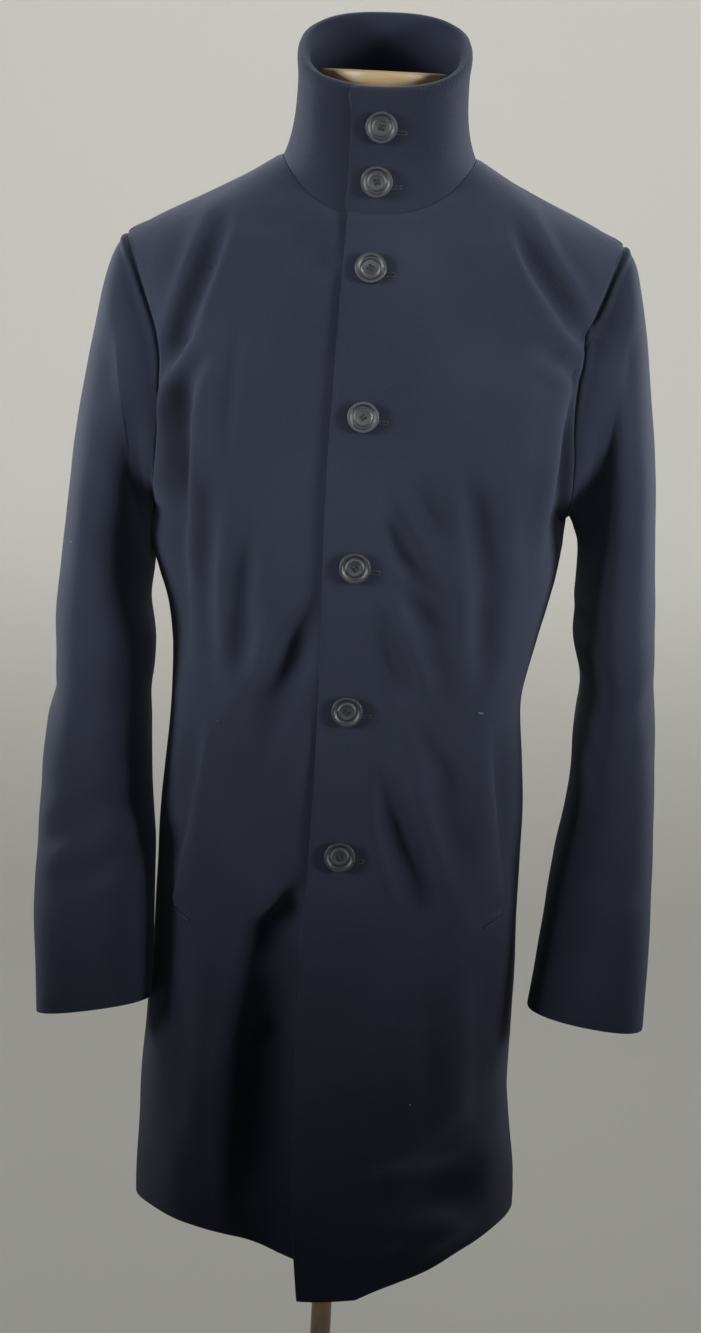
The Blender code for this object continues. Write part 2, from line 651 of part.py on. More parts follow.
def armhole_loop(side):
    """The armhole's edge from the shoulder tip, down the front to the armpit and up the back."""
    front_name = "front_left" if side > 0 else "front_right"
    back_column = 0 if side > 0 else BACK_COLUMNS
    upper = range(LOWER_ROWS, LOWER_ROWS + UPPER_ROWS + 1)
    front = panel_edge(front_name, [(row, FRONT_COLUMNS) for row in reversed(upper)])
    back = panel_edge("back", [(row, back_column) for row in upper])
    outer, inner, normal = joined_edges([front, back])
    shared = [0.5 * (part[:1] + part[-1:]) for part in (outer, inner, normal)]
    outer, inner, normal = [np.concatenate([s, p[1:-1]]) for s, p in zip(shared, (outer, inner, normal))]
    tangent = np.roll(outer, -1, axis=0) - np.roll(outer, 1, axis=0)
    away = side * unit(np.cross(normal, tangent))
    return outer + SET_IN_GAP * away, inner + SET_IN_GAP * away


def sleeve(name, side, rings, folds):
    """A set-in sleeve: rings that leave the armhole's edge and turn down to the cuff."""
    loop_outer, loop_inner = armhole_loop(side)
    round_angle = math.tau * np.arange(SLEEVE_SIDES) / SLEEVE_SIDES

    def point(station, angle):
        outer = np.stack([along(rings, "outer_x", station), along(rings, "outer_z", station)], axis=-1)
        inner = np.stack([along(rings, "inner_x", station), along(rings, "inner_z", station)], axis=-1)
        power = 2 / along(rings, "power", station)
        across = np.sign(np.cos(angle)) * np.abs(np.cos(angle)) ** power
        ahead = np.sign(np.sin(angle)) * np.abs(np.sin(angle)) ** power
        flat = 0.5 * (outer + inner) + 0.5 * across[..., None] * (outer - inner)
        y = along(rings, "centre_y", station) - along(rings, "half_depth", station) * ahead
        z = flat[..., 1] + along(rings, "front_rise", station) * ahead
        return np.stack([side * flat[..., 0], y, z], axis=-1)

    def creases(station, angle):
        total = np.zeros(np.broadcast(station, angle).shape)
        degrees = np.degrees(angle)
        for place, middle, slant, half_station, half_angle, depth in zip(*folds.values()):
            round_by = (degrees - middle + 180.0) % 360.0 - 180.0
            along_by = station - place - slant / 360.0 * round_by / half_angle
            total = total + depth * np.exp(-((along_by / half_station) ** 2) - (round_by / half_angle) ** 2)
        return total

    last = next(iter(rings.values()))[-1]
    share = np.arange(SLEEVE_RINGS + 1) / SLEEVE_RINGS
    crowded = (1 - SLEEVE_EVEN_SHARE) * share**SLEEVE_CROWDING
    stations = last * (SLEEVE_EVEN_SHARE * share + crowded)
    station, angle = np.meshgrid(stations, round_angle, indexing="ij")
    plain = point(station, angle)
    step = 0.03
    down = point(station + step, angle) - point(station - step, angle)
    around = point(station, angle + step) - point(station, angle - step)
    outward = side * unit(np.cross(around, down))
    calm = ease((station - SLEEVE_CREASE_START) / SLEEVE_CREASE_FADE)
    outer = plain + (calm * creases(station, angle))[..., None] * outward
    inner = outer - CLOTH * outward
    fade = (1 - ease(stations / SLEEVE_SET_IN_END))[:, None, None]
    outer = outer + fade * (loop_outer - outer[0])
    inner = inner + fade * (loop_inner - inner[0])
    return wall(name, leaned(outer), leaned(inner), COAT_CLOTH, closed=True)


sleeve("sleeve_left", 1, SLEEVE_LEFT, SLEEVE_FOLDS_LEFT)
sleeve("sleeve_right", -1, SLEEVE_RIGHT, SLEEVE_FOLDS_RIGHT)


def neck_edge():
    """The neck edge from the right front's hidden end, round the back, to the left front's end."""
    neck = range(LOWER_ROWS + NECK_ROW, LOWER_ROWS + UPPER_ROWS + 1)
    right = panel_edge("front_right", [(row, 0) for row in neck])
    top = LOWER_ROWS + UPPER_ROWS
    columns = range(BACK_SEAM_COLUMNS, BACK_COLUMNS - BACK_SEAM_COLUMNS + 1)
    back = panel_edge("back", [(top, column) for column in reversed(columns)])
    left = panel_edge("front_left", [(row, 0) for row in reversed(neck)])
    outer, inner, normal = joined_edges([right, back, left])
    tangent = np.gradient(outer, axis=0)
    away = unit(np.cross(tangent, normal))
    return outer + SET_IN_GAP * away, inner + SET_IN_GAP * away


def collar_grids():
    base_outer, base_inner = neck_edge()
    count = len(base_outer)
    share = np.linspace(0.0, 1.0, count)
    turn = np.arctan2(-base_outer[:, 1], base_outer[:, 0])
    across, ahead = np.cos(turn), np.sin(turn)
    depth = np.where(ahead > 0, COLLAR_FRONT, COLLAR_BACK)
    reach = 1.0 / np.sqrt((across / COLLAR_HALF_WIDTH) ** 2 + (ahead / depth) ** 2)
    over = ease((share - 1 + COLLAR_LAP_SHARE) / COLLAR_LAP_FADE)
    under = ease((COLLAR_LAP_SHARE - share) / COLLAR_LAP_FADE)
    lap = 0.5 * (COLLAR_CLOTH + LAP_GAP) * (over - under)
    top = np.stack([(reach + lap) * across, -(reach + lap) * ahead, 0.0 * reach], axis=-1)
    inside = np.stack([across / COLLAR_HALF_WIDTH**2, -ahead / depth**2, 0.0 * reach], axis=-1)
    outward = unit(inside)
    top[:, 2] = COLLAR_TOP_FRONT + COLLAR_TOP_SLOPE * (top[:, 1] + COLLAR_FRONT)
    top[:, 2] -= COLLAR_UNDER_DROP * ease((COLLAR_UNDER_SHARE - share) / COLLAR_UNDER_SHARE)
    outer, inner = [], []
    for row in range(COLLAR_ROWS + 1):
        rise = row / COLLAR_ROWS
        pull = 1 - (1 - rise) ** COLLAR_EASE
        out = base_outer + (top - base_outer) * np.array([pull, pull, 0.0])
        out[:, 2] = base_outer[:, 2] + (top[:, 2] - base_outer[:, 2]) * rise
        thin = out - COLLAR_CLOTH * outward
        if row == 0:
            thin = base_inner
        outer.append(out)
        inner.append(thin)
    return np.array(outer), np.array(inner)


COLLAR_OUTER, COLLAR_INNER = collar_grids()
wall("collar", leaned(COLLAR_OUTER), leaned(COLLAR_INNER), COAT_CLOTH)


def place_on_grid(outer, x, z, start):
    """The row and column, with fractions, where a grid passes a point seen from the front."""
    row, column = start
    for _ in range(SEEK_STEPS):
        here = on_grid(outer, row, column)
        above, below = on_grid(outer, row + SEEK_REACH, column), on_grid(outer, row - SEEK_REACH, column)
        after, before = on_grid(outer, row, column + SEEK_REACH), on_grid(outer, row, column - SEEK_REACH)
        slopes = np.stack([above - below, after - before], axis=1)[[0, 2]] / (2 * SEEK_REACH)
        step = np.linalg.solve(slopes, np.array([x, z]) - here[[0, 2]])
        row = float(np.clip(row + step[0], SEEK_REACH, outer.shape[0] - 1 - SEEK_REACH))
        column = float(np.clip(column + step[1], SEEK_REACH, outer.shape[1] - 1 - SEEK_REACH))
    return row, column


def on_grid(points, row, column):
    """A grid's value between its points."""
    i = int(np.clip(math.floor(row), 0, points.shape[0] - 2))
    j = int(np.clip(math.floor(column), 0, points.shape[1] - 2))
    u, v = row - i, column - j
    low = points[i, j] * (1 - v) + points[i, j + 1] * v
    high = points[i + 1, j] * (1 - v) + points[i + 1, j + 1] * v
    return low * (1 - u) + high * u


def button_mesh():
    """A round button with a raised rim and a dished middle, its back at height 0."""
    rim = BUTTON_HEIGHT
    profile = (
        (0.0, 0.0),
        (BUTTON_RADIUS - BUTTON_EDGE, 0.0),
        (BUTTON_RADIUS, BUTTON_EDGE),
        (BUTTON_RADIUS, rim - BUTTON_EDGE),
        (BUTTON_RADIUS - BUTTON_EDGE, rim),
        (BUTTON_DISH_RADIUS + BUTTON_EDGE, rim),
        (BUTTON_DISH_RADIUS, rim - BUTTON_DISH_DEPTH),
        (0.0, rim - BUTTON_DISH_DEPTH),
    )
    return turned("button", profile, BUTTON_SIDES, None)


def buttons():
    shared = button_mesh()
    shared.materials.append(BUTTON_HORN)
    front = GRIDS["front_left"]["outer"]
    for number, z, x in zip(*BUTTONS.values()):
        if z > FRONT_NECK + BUTTON_RADIUS:
            grid, start = COLLAR_OUTER, (COLLAR_ROWS / 2, len(COLLAR_OUTER[0]) - 1 - BUTTON_SEEK_COLUMN)
        else:
            grid, start = front, (float(LOWER_ROWS), BUTTON_SEEK_COLUMN)
        row, column = place_on_grid(grid, x, z, start)
        reach = BUTTON_TILT_REACH
        ahead = on_grid(grid, row, column + reach) - on_grid(grid, row, column - reach)
        up = on_grid(grid, row + reach, column) - on_grid(grid, row - reach, column)
        normal = unit(np.cross(ahead, up))
        normal = normal * (-np.sign(normal[1]))
        middle = on_grid(grid, row, column)
        steps = np.arange(-PROBE_STEPS, PROBE_STEPS + 1) / PROBE_STEPS
        near = [on_grid(grid, row + i, column + j) - middle for i in steps for j in steps]
        highest = max(point @ normal for point in near if np.linalg.norm(point) < BUTTON_SEAT_RADIUS)
        place = leaned(middle + (highest + BUTTON_GAP) * normal)
        made = bpy.data.objects.new(f"button_{int(number)}", shared)
        made.location = place
        made.rotation_euler = Vector(normal).to_track_quat("Z", "Y").to_euler()
        bpy.context.scene.collection.objects.link(made)


buttons()


def pocket_welt(name, panel, line):
    """A welt that lies on a front panel, between its seam and its free edge."""
    side = 1 if line["top_x"] > 0 else -1
    outer, inner = [], []
    for i in range(WELT_ROWS + 1):
        down = i / WELT_ROWS
        free_x = line["top_x"] + (line["low_x"] - line["top_x"]) * down
        z = line["top_z"] + (line["low_z"] - line["top_z"]) * down
        seat, face = [], []
        for j in range(WELT_COLUMNS + 1):
            x = free_x - side * WELT_WIDTH * (1 - j / WELT_COLUMNS)
            start = (LOWER_ROWS * WELT_SEEK_ROW_SHARE, WELT_SEEK_COLUMN)
            row, column = place_on_grid(GRIDS[panel]["outer"], x, z, start)
            carrier = on_grid(GRIDS[panel]["outer"], row, column)
            normal = unit(on_grid(GRIDS[panel]["normal"], row, column))
            seat.append(carrier + WELT_GAP * normal)
            face.append(carrier + (WELT_GAP + WELT_THICKNESS) * normal)
        inner.append(seat)
        outer.append(face)
    return wall(name, leaned(np.array(outer)), leaned(np.array(inner)), COAT_CLOTH)


pocket_welt("pocket_welt_left", "front_left", WELT_LEFT)
pocket_welt("pocket_welt_right", "front_right", WELT_RIGHT)


def form_torso():
    """A smooth limbless torso whose shoulders carry the coat from inside."""
    round_angle = math.tau * np.arange(FORM_SIDES) / FORM_SIDES
    rings = []
    for z in FORM_HEIGHTS:
        under_coat = along(BODY, "half_width", z + FORM_DROP)
        half_width = min(along(FORM, "half_width", z), under_coat)
        power = 2 / along(FORM, "power", z)
        across, ahead = np.cos(round_angle), np.sin(round_angle)
        depth = np.where(ahead > 0, -along(FORM, "front", z), along(FORM, "back", z))
        x = half_width * np.sign(across) * np.abs(across) ** power
        y = depth * np.abs(ahead) ** power
        lean = COAT_LEAN * ease((z - FORM_LEAN_START) / FORM_LEAN_FADE)
        lean *= ease((FORM_LEAN_END - z) / FORM_NECK_FADE)
        rings.append(np.stack([x, y, z + lean * x], axis=-1))
    body = bmesh.new()
    loops = [[body.verts.new(p) for p in ring] for ring in rings]
    for low, high in zip(loops[:-1], loops[1:]):
        for j in range(FORM_SIDES):
            k = (j + 1) % FORM_SIDES
            body.faces.new((low[j], low[k], high[k], high[j]))
    body.faces.new(loops[0])
    body.faces.new(loops[-1])
    bmesh.ops.recalc_face_normals(body, faces=body.faces)
    mesh = bpy.data.meshes.new("form_torso")
    body.to_mesh(mesh)
    body.free()
    mesh.shade_smooth()
    mesh.set_sharp_from_angle(angle=SMOOTH_ANGLE)
    return make_object("form_torso", mesh, FORM_COVER)


form_torso()

CAP_FOOT = FORM_HEIGHTS[-1] + SEAM_GAP
turned(
    "form_neck_cap",
    (
        (0.0, CAP_FOOT),
        (CAP_RADIUS, CAP_FOOT),
        (CAP_RADIUS, CAP_TOP - CAP_EDGE),
        (CAP_RADIUS - CAP_EDGE, CAP_TOP),
        (0.0, CAP_TOP),
    ),
    TURNED_SIDES,
    PALE_WOOD,
)
turned(
    "form_pole",
    (
        (0.0, HUB_TOP + SEAM_GAP),
        (POLE_RADIUS, HUB_TOP + SEAM_GAP),
        (POLE_RADIUS, FORM_HEIGHTS[0] - SEAM_GAP),
        (0.0, FORM_HEIGHTS[0] - SEAM_GAP),
    ),
    TURNED_SIDES // 2,
    BRONZED_STEEL,
)
turned(
    "form_base",
    (
        (0.0, 0.0),
        (BASE_RADIUS, 0.0),
        (BASE_RADIUS, BASE_THICKNESS - BASE_EDGE),
        (BASE_RADIUS - BASE_EDGE, BASE_THICKNESS),
        (HUB_RADIUS + BASE_EDGE, BASE_THICKNESS),
        (HUB_RADIUS, BASE_THICKNESS + BASE_EDGE),
        (HUB_RADIUS, HUB_TOP - BASE_EDGE),
        (HUB_RADIUS - BASE_EDGE, HUB_TOP),
        (0.0, HUB_TOP),
    ),
    TURNED_SIDES,
    BRONZED_STEEL,
)
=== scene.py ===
import math

import bpy
import numpy as np
from mathutils import Matrix, Vector, noise


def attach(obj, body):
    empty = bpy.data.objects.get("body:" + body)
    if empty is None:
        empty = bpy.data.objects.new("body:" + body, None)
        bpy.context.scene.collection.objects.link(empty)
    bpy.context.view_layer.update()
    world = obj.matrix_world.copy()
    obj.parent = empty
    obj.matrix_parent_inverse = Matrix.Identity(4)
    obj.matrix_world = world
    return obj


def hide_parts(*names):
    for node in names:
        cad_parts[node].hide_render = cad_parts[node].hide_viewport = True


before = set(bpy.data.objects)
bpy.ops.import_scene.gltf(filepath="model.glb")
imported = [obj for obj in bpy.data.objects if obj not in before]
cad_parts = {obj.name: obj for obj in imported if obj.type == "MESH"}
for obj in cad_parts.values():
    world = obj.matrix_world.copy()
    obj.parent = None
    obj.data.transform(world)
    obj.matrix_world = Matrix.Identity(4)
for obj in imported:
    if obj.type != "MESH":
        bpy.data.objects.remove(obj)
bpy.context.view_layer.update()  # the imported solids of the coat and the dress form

print("frame:", len(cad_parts), "solids")


# small helpers for tables and directions
def makeTable(columns, *rows):
    return dict(zip(columns.split(), np.array(rows, dtype=float).T))


def curveAt(rows, column, at):  # smooth curve through a table that never overshoots
    keys = next(iter(rows.values()))
    values = rows[column]
    steps = np.diff(keys)
    slopes = np.diff(values) / steps
    products = slopes[:-1] * slopes[1:]
    sums = np.where(products > 0, slopes[:-1] + slopes[1:], 1.0)
    inner = np.where(products > 0, 2 * products / sums, 0.0)
    tangents = np.concatenate([slopes[:1], inner, slopes[-1:]])
    at = np.clip(np.asarray(at, dtype=float), keys[0], keys[-1])
    cell = np.clip(np.searchsorted(keys, at) - 1, 0, len(steps) - 1)
    t = (at - keys[cell]) / steps[cell]
    start = (1 + 2 * t) * (1 - t) ** 2 * values[cell] + t * (1 - t) ** 2 * steps[cell] * tangents[cell]
    end = t * t * (3 - 2 * t) * values[cell + 1] + t * t * (t - 1) * steps[cell] * tangents[cell + 1]
    return start + end


def easeStep(t):
    t = np.clip(t, 0.0, 1.0)
    return t * t * (3 - 2 * t)


def bell(t):
    return np.exp(-(t**2))


def blend(start, end, share):
    return start + (end - start) * share


def unitOf(vectors):
    return vectors / np.maximum(np.linalg.norm(vectors, axis=-1, keepdims=True), 1e-9)


def addPiece(name, data):
    made = bpy.data.objects.new(name, data)
    bpy.context.scene.collection.objects.link(made)
    return made


def pickOnly(*pieces):  # nothing else stays selected, and the last piece is active
    bpy.ops.object.select_all(action="DESELECT")
    for piece in pieces:
        piece.select_set(True)
        bpy.context.view_layer.objects.active = piece


def editWhole(*steps):  # edit mode on the whole of the active piece
    bpy.ops.object.mode_set(mode="EDIT")
    bpy.ops.mesh.select_all(action="SELECT")
    for step in steps:
        step()
    bpy.ops.object.mode_set(mode="OBJECT")


# camera at the photo's viewing angle
cameraSetup = {
    "place": (-0.003, -2.2, 1.5),
    "tiltDown": 12.4,
    "roll": 2.9,
    "focalPixels": 2640.0,
    "longSidePixels": 1333.0,
    "sensor": 36.0,
    "farEnd": 100.0,
}


def placeCamera():
    data = bpy.data.cameras.new("photoCamera")
    data.sensor_width = cameraSetup["sensor"]
    data.lens = cameraSetup["sensor"] * cameraSetup["focalPixels"] / cameraSetup["longSidePixels"]
    data.clip_end = cameraSetup["farEnd"]
    made = addPiece("photoCamera", data)
    tilt = Matrix.Rotation(math.radians(90.0 - cameraSetup["tiltDown"]), 4, "X")
    roll = Matrix.Rotation(math.radians(cameraSetup["roll"]), 4, "Z")
    made.matrix_world = Matrix.Translation(cameraSetup["place"]) @ tilt @ roll
    bpy.context.scene.camera = made


placeCamera()
print("camera placed")


# pale studio sweep, closed all round so that every side has the same plain ground
studio = {
    "sides": 128,
    "floorRadius": 7.0,
    "curveRadius": 2.6,
    "curveSteps": 10,
    "wallTop": 7.0,
    "paper": (0.62, 0.615, 0.575),
    "paperRough": 0.9,
    "paperSpecular": 0.1,
    "ambient": (0.93, 0.97, 1.0),
    "ambientStrength": 0.03,
}
lamps = {  # place, aim, width, height, watts, spread
    "keyAbove": ((0.15, -1.35, 1.72), (0.0, -0.10, 1.24), 0.6, 0.4, 0.52, 38.0),
    "sideRight": ((1.45, -0.75, 1.50), (0.1, 0.0, 1.27), 0.5, 0.8, 4.9, 36.0),
    "sideLeft": ((-1.45, -0.75, 1.50), (-0.1, 0.0, 1.27), 0.5, 0.8, 4.8, 36.0),
    "rearRight": ((1.25, 1.10, 1.55), (0.05, 0.0, 1.18), 0.5, 0.8, 2.6, 40.0),
    "rearLeft": ((-1.25, 1.10, 1.55), (-0.05, 0.0, 1.18), 0.5, 0.8, 3.0, 40.0),
    "behind": ((0.0, 2.4, 2.9), (0.0, 0.0, 1.2), 1.8, 1.2, 9.0, 110.0),
    "floorWash": ((0.0, 1.2, 5.0), (0.0, 1.3, 0.0), 5.0, 4.0, 24.0, 120.0),
    "wallWash": ((0.0, 5.4, 6.6), (0.0, 9.6, 3.2), 7.0, 1.5, 390.0, 180.0),
    "wallWashRear": ((0.0, -5.4, 6.6), (0.0, -9.6, 3.2), 7.0, 1.5, 95.0, 180.0),
    "wallWashLeft": ((-5.4, 0.0, 6.6), (-9.6, 0.0, 3.2), 7.0, 1.5, 90.0, 180.0),
    "wallWashRight": ((5.4, 0.0, 6.6), (9.6, 0.0, 3.2), 7.0, 1.5, 90.0, 180.0),
}


def buildStudio():
    pickOnly()
    sides, radius = studio["sides"], studio["floorRadius"]
    bpy.ops.mesh.primitive_circle_add(vertices=sides, radius=radius, fill_type="NGON")
    sweep = bpy.context.object
    sweep.name = "studioSweep"
    bpy.ops.object.mode_set(mode="EDIT")
    bpy.ops.mesh.select_mode(type="EDGE")
    bpy.ops.mesh.region_to_loop()
    reach, height = studio["floorRadius"], 0.0
    for step in range(1, studio["curveSteps"] + 1):
        turn = 0.5 * math.pi * step / studio["curveSteps"]
        newReach = studio["floorRadius"] + studio["curveRadius"] * math.sin(turn)
        newHeight = studio["curveRadius"] * (1 - math.cos(turn))
        bpy.ops.mesh.extrude_edges_move(TRANSFORM_OT_translate={"value": (0, 0, newHeight - height)})
        wider = newReach / reach
        bpy.ops.transform.resize(value=(wider, wider, 1.0), center_override=(0, 0, newHeight))
        reach, height = newReach, newHeight
    bpy.ops.mesh.extrude_edges_move(TRANSFORM_OT_translate={"value": (0, 0, studio["wallTop"] - height)})
    bpy.ops.mesh.select_all(action="SELECT")
    bpy.ops.mesh.normals_make_consistent(inside=True)
    bpy.ops.object.mode_set(mode="OBJECT")
    bpy.ops.object.shade_smooth()
    paper = bpy.data.materials.new("studioPaper")
    paper.use_nodes = True
    shader = paper.node_tree.nodes["Principled BSDF"]
    shader.inputs["Base Color"].default_value = (*studio["paper"], 1.0)
    shader.inputs["Roughness"].default_value = studio["paperRough"]
    shader.inputs["Specular IOR Level"].default_value = studio["paperSpecular"]
    sweep.data.materials.append(paper)

    world = bpy.data.worlds.new("studioAir")
    world.use_nodes = True
    air = world.node_tree.nodes["Background"]
    air.inputs["Color"].default_value = (*studio["ambient"], 1.0)
    air.inputs["Strength"].default_value = studio["ambientStrength"]
    bpy.context.scene.world = world
    for name, (place, aim, width, height, watts, spread) in lamps.items():
        data = bpy.data.lights.new(name, "AREA")
        data.shape = "RECTANGLE"
        data.size, data.size_y = width, height
        data.energy = watts
        data.spread = math.radians(spread)
        lamp = addPiece(name, data)
        lamp.location = place
        lamp.rotation_euler = (Vector(aim) - Vector(place)).to_track_quat("-Z", "Y").to_euler()
        lamp.visible_camera = False
    bpy.context.scene.view_settings.view_transform = "Standard"
    bpy.context.scene.view_settings.look = "None"


buildStudio()
print("studio ready")


# finishes
def newFinish(name):
    finish = bpy.data.materials.new(name)
    finish.use_nodes = True
    return finish, finish.node_tree.nodes["Principled BSDF"]


def setSockets(finish, node, values):  # a value is a number, a colour or another node's output
    for name, value in values.items():
        socket = node.inputs[name]
        if isinstance(value, bpy.types.NodeSocket):
            finish.node_tree.links.new(value, socket)
        else:
            socket.default_value = (*value, 1.0) if socket.type == "RGBA" else value
    return node


def addNode(finish, kind, values):
    return setSockets(finish, finish.node_tree.nodes.new("ShaderNode" + kind), values)


def mixColours(finish, factor, low, high):
    mixer = finish.node_tree.nodes.new("ShaderNodeMix")
    mixer.data_type = "RGBA"
    return setSockets(finish, mixer, {0: factor, 6: low, 7: high}).outputs[2]


def rangeOf(finish, value, fromLow, fromHigh, toLow, toHigh):
    limits = {"From Min": fromLow, "From Max": fromHigh, "To Min": toLow, "To Max": toHigh}
    return addNode(finish, "MapRange", {"Value": value, **limits}).outputs["Result"]


twill = {
    "deepNavy": (0.0042, 0.0053, 0.0097),
    "fadedNavy": (0.0079, 0.0095, 0.0165),
    "ribLift": (0.0127, 0.0151, 0.0256),
    "lint": (0.16, 0.17, 0.19),
    "ribEvery": 0.0012,  # metres between twill ribs
    "ribTurn": 62.0,
    "ribWaver": {"Distortion": 1.2, "Detail": 2.0, "Detail Scale": 0.6},
    "ribFrom": (0.2, 1.0),
    "ribShare": 0.45,
    "fade": {"Scale": 9.0, "Detail": 4.0},
    "fadeFrom": (0.35, 0.70),
    "yarn": {"Scale": 420.0, "Detail": 3.0},
    "yarnFrom": (0.3, 0.7),
    "rough": (0.84, 0.96),
    "lintScale": 46.0,
    "lintSize": (0.03, 0.045),
    "lintPick": (0.962, 0.968),  # only the last few cells carry a speck
    "lintShow": 0.7,
    "ribBump": {"Strength": 0.30, "Distance": 0.0003},
    "napBump": {"Strength": 0.25, "Distance": 0.0005},
    "gloss": {
        "Specular IOR Level": 0.06,
        "Sheen Weight": 0.085,
        "Sheen Roughness": 0.60,
        "Sheen Tint": (0.55, 0.62, 0.82),
    },
}


def makeTwill(name):
    finish, shader = newFinish(name)
    place = addNode(finish, "TexCoord", {}).outputs["Object"]
    cut = addNode(finish, "UVMap", {})
    cut.uv_map = "cut"
    turn = (0.0, 0.0, math.radians(twill["ribTurn"]))
    turned = addNode(finish, "Mapping", {"Vector": cut.outputs["UV"], "Rotation": turn}).outputs["Vector"]
    bands = math.tau / 20.0 / twill["ribEvery"]  # a wave of scale 1 has a band every tau / 20 m
    ribs = addNode(finish, "TexWave", {"Vector": turned, "Scale": bands, **twill["ribWaver"]})
    ribs.wave_type = "BANDS"
    ribs.bands_direction = "X"
    rib = ribs.outputs["Fac"]
    fade = addNode(finish, "TexNoise", {"Vector": place, **twill["fade"]}).outputs["Fac"]
    yarn = addNode(finish, "TexNoise", {"Vector": place, **twill["yarn"]}).outputs["Fac"]
    worn = rangeOf(finish, fade, *twill["fadeFrom"], 0.0, 1.0)
    ground = mixColours(finish, worn, twill["deepNavy"], twill["fadedNavy"])
    ribShare = rangeOf(finish, rib, *twill["ribFrom"], 0.0, twill["ribShare"])
    ribbed = mixColours(finish, ribShare, ground, twill["ribLift"])
    cells = addNode(finish, "TexVoronoi", {"Vector": place, "Scale": twill["lintScale"]})
    speck = rangeOf(finish, cells.outputs["Distance"], *twill["lintSize"], 1.0, 0.0)
    pick = addNode(finish, "SeparateColor", {"Color": cells.outputs["Color"]})
    rare = rangeOf(finish, pick.outputs["Red"], *twill["lintPick"], 0.0, twill["lintShow"])
    both = addNode(finish, "Math", {0: speck, 1: rare})
    both.operation = "MULTIPLY"
    ribBump = addNode(finish, "Bump", {"Height": rib, **twill["ribBump"]}).outputs["Normal"]
    napBump = addNode(finish, "Bump", {"Height": yarn, "Normal": ribBump, **twill["napBump"]})
    setSockets(finish, shader, {
        "Base Color": mixColours(finish, both.outputs[0], ribbed, twill["lint"]),
        "Roughness": rangeOf(finish, yarn, *twill["yarnFrom"], *twill["rough"]),
        "Normal": napBump.outputs["Normal"],
        **twill["gloss"],
    })
    return finish


grain = {"noise": {"Detail": 5.0, "Roughness": 0.6}, "from": (0.30, 0.70), "relief": 0.35}
grained = {  # dark and light colour, scale, stretch, low and high roughness, bump, metallic
    "hornButton": ((0.0026, 0.0034, 0.0062), (0.006, 0.0078, 0.0124), 160.0, (1, 1, 3), (0.46, 0.58), 0.0001),
    "navyThread": ((0.0016, 0.002, 0.003), (0.004, 0.005, 0.007), 900.0, (1, 1, 1), (0.85, 0.95), 0.0002),
    "paleThread": ((0.018, 0.021, 0.028), (0.040, 0.045, 0.058), 900.0, (1, 1, 1), (0.8, 0.9), 0.0002),
    "paleWood": ((0.13, 0.088, 0.036), (0.22, 0.156, 0.072), 60.0, (0.25, 1.6, 3.0), (0.42, 0.60), 0.0004),
    "formLinen": ((0.36, 0.32, 0.25), (0.50, 0.45, 0.36), 700.0, (1, 1, 0.5), (0.80, 0.95), 0.0004),
    "bronzedSteel": ((0.19, 0.13, 0.082), (0.31, 0.225, 0.15), 90.0, (2, 2, 0.4), (0.42, 0.58), 0.0001, 0.35),
}


def makeGrained(name, dark, light, scale, stretch, rough, bump, metallic=0.0):
    finish, shader = newFinish(name)
    place = addNode(finish, "TexCoord", {}).outputs["Object"]
    spread = addNode(finish, "Mapping", {"Vector": place, "Scale": stretch}).outputs["Vector"]
    value = addNode(finish, "TexNoise", {"Vector": spread, "Scale": scale, **grain["noise"]}).outputs["Fac"]
    share = rangeOf(finish, value, *grain["from"], 0.0, 1.0)
    relief = addNode(finish, "Bump", {"Height": value, "Strength": grain["relief"], "Distance": bump})
    setSockets(finish, shader, {
        "Base Color": mixColours(finish, share, dark, light),
        "Roughness": rangeOf(finish, value, *grain["from"], *rough),
        "Normal": relief.outputs["Normal"],
        "Metallic": metallic,
    })
    return finish


coatTwill = makeTwill("coatTwill")
finishes = {name: makeGrained(name, *look) for name, look in grained.items()}
print("finishes ready")


# cloth of the coat's body: rings, hem, lap and the large folds, in metres
coat = {
    "cloth": 0.002,
    "seamGap": 0.0003,
    "setInGap": 0.0006,
    "lapGap": 0.0018,
    "lean": 0.022,
    "armpit": 1.150,
    "shoulderTip": 1.378,
    "frontNeck": 1.403,
    "sideNeck": 1.446,
    "backNeck": 1.462,
    "neckHalfWidth": 0.079,
    "neckCurve": 2.7,
    "armholeFront": 0.066,
    "armholeBack": 0.064,
    "armholeScoop": 0.22,
    "lapWidth": 0.047,
    "lapFlat": 0.035,
    "lapFade": 0.050,
    "frontEdgeAngle": 97.0,
    "softFrom": 1.300,
    "softX": 0.110,
    "softFade": 0.040,
    "softShare": 0.7,
    "softRounds": 125,
    "foldEnds": 0.3,
    "foldBelowTip": 0.008,
    "foldFade": 0.060,
    "lapMiddle": -0.004,
    "foldAtLap": 0.022,
    "foldLapFade": 0.028,
    "foldShare": 0.5,  # of the solids' own folds, under the finer creases
    "creaseAtLap": 0.014,
    "creaseLapFade": 0.020,
    "lowerRows": 185,
    "upperRows": 90,
    "frontColumns": 96,
    "lapColumns": 17,
    "backColumns": 150,
    "backSeamColumns": 47,
    "normalRise": 0.006,  # steps up and round for the direction out of a ring
    "normalTurn": 0.020,
    "openBelow": 0.860,  # below the last button the lap's creases run free
    "openFade": 0.08,
    "rimProfile": ((0.16, 0.36), (0.50, 0.50), (0.84, 0.36)),  # depth and swell of a rounded free edge
    "sharpAngle": 52.0,
}
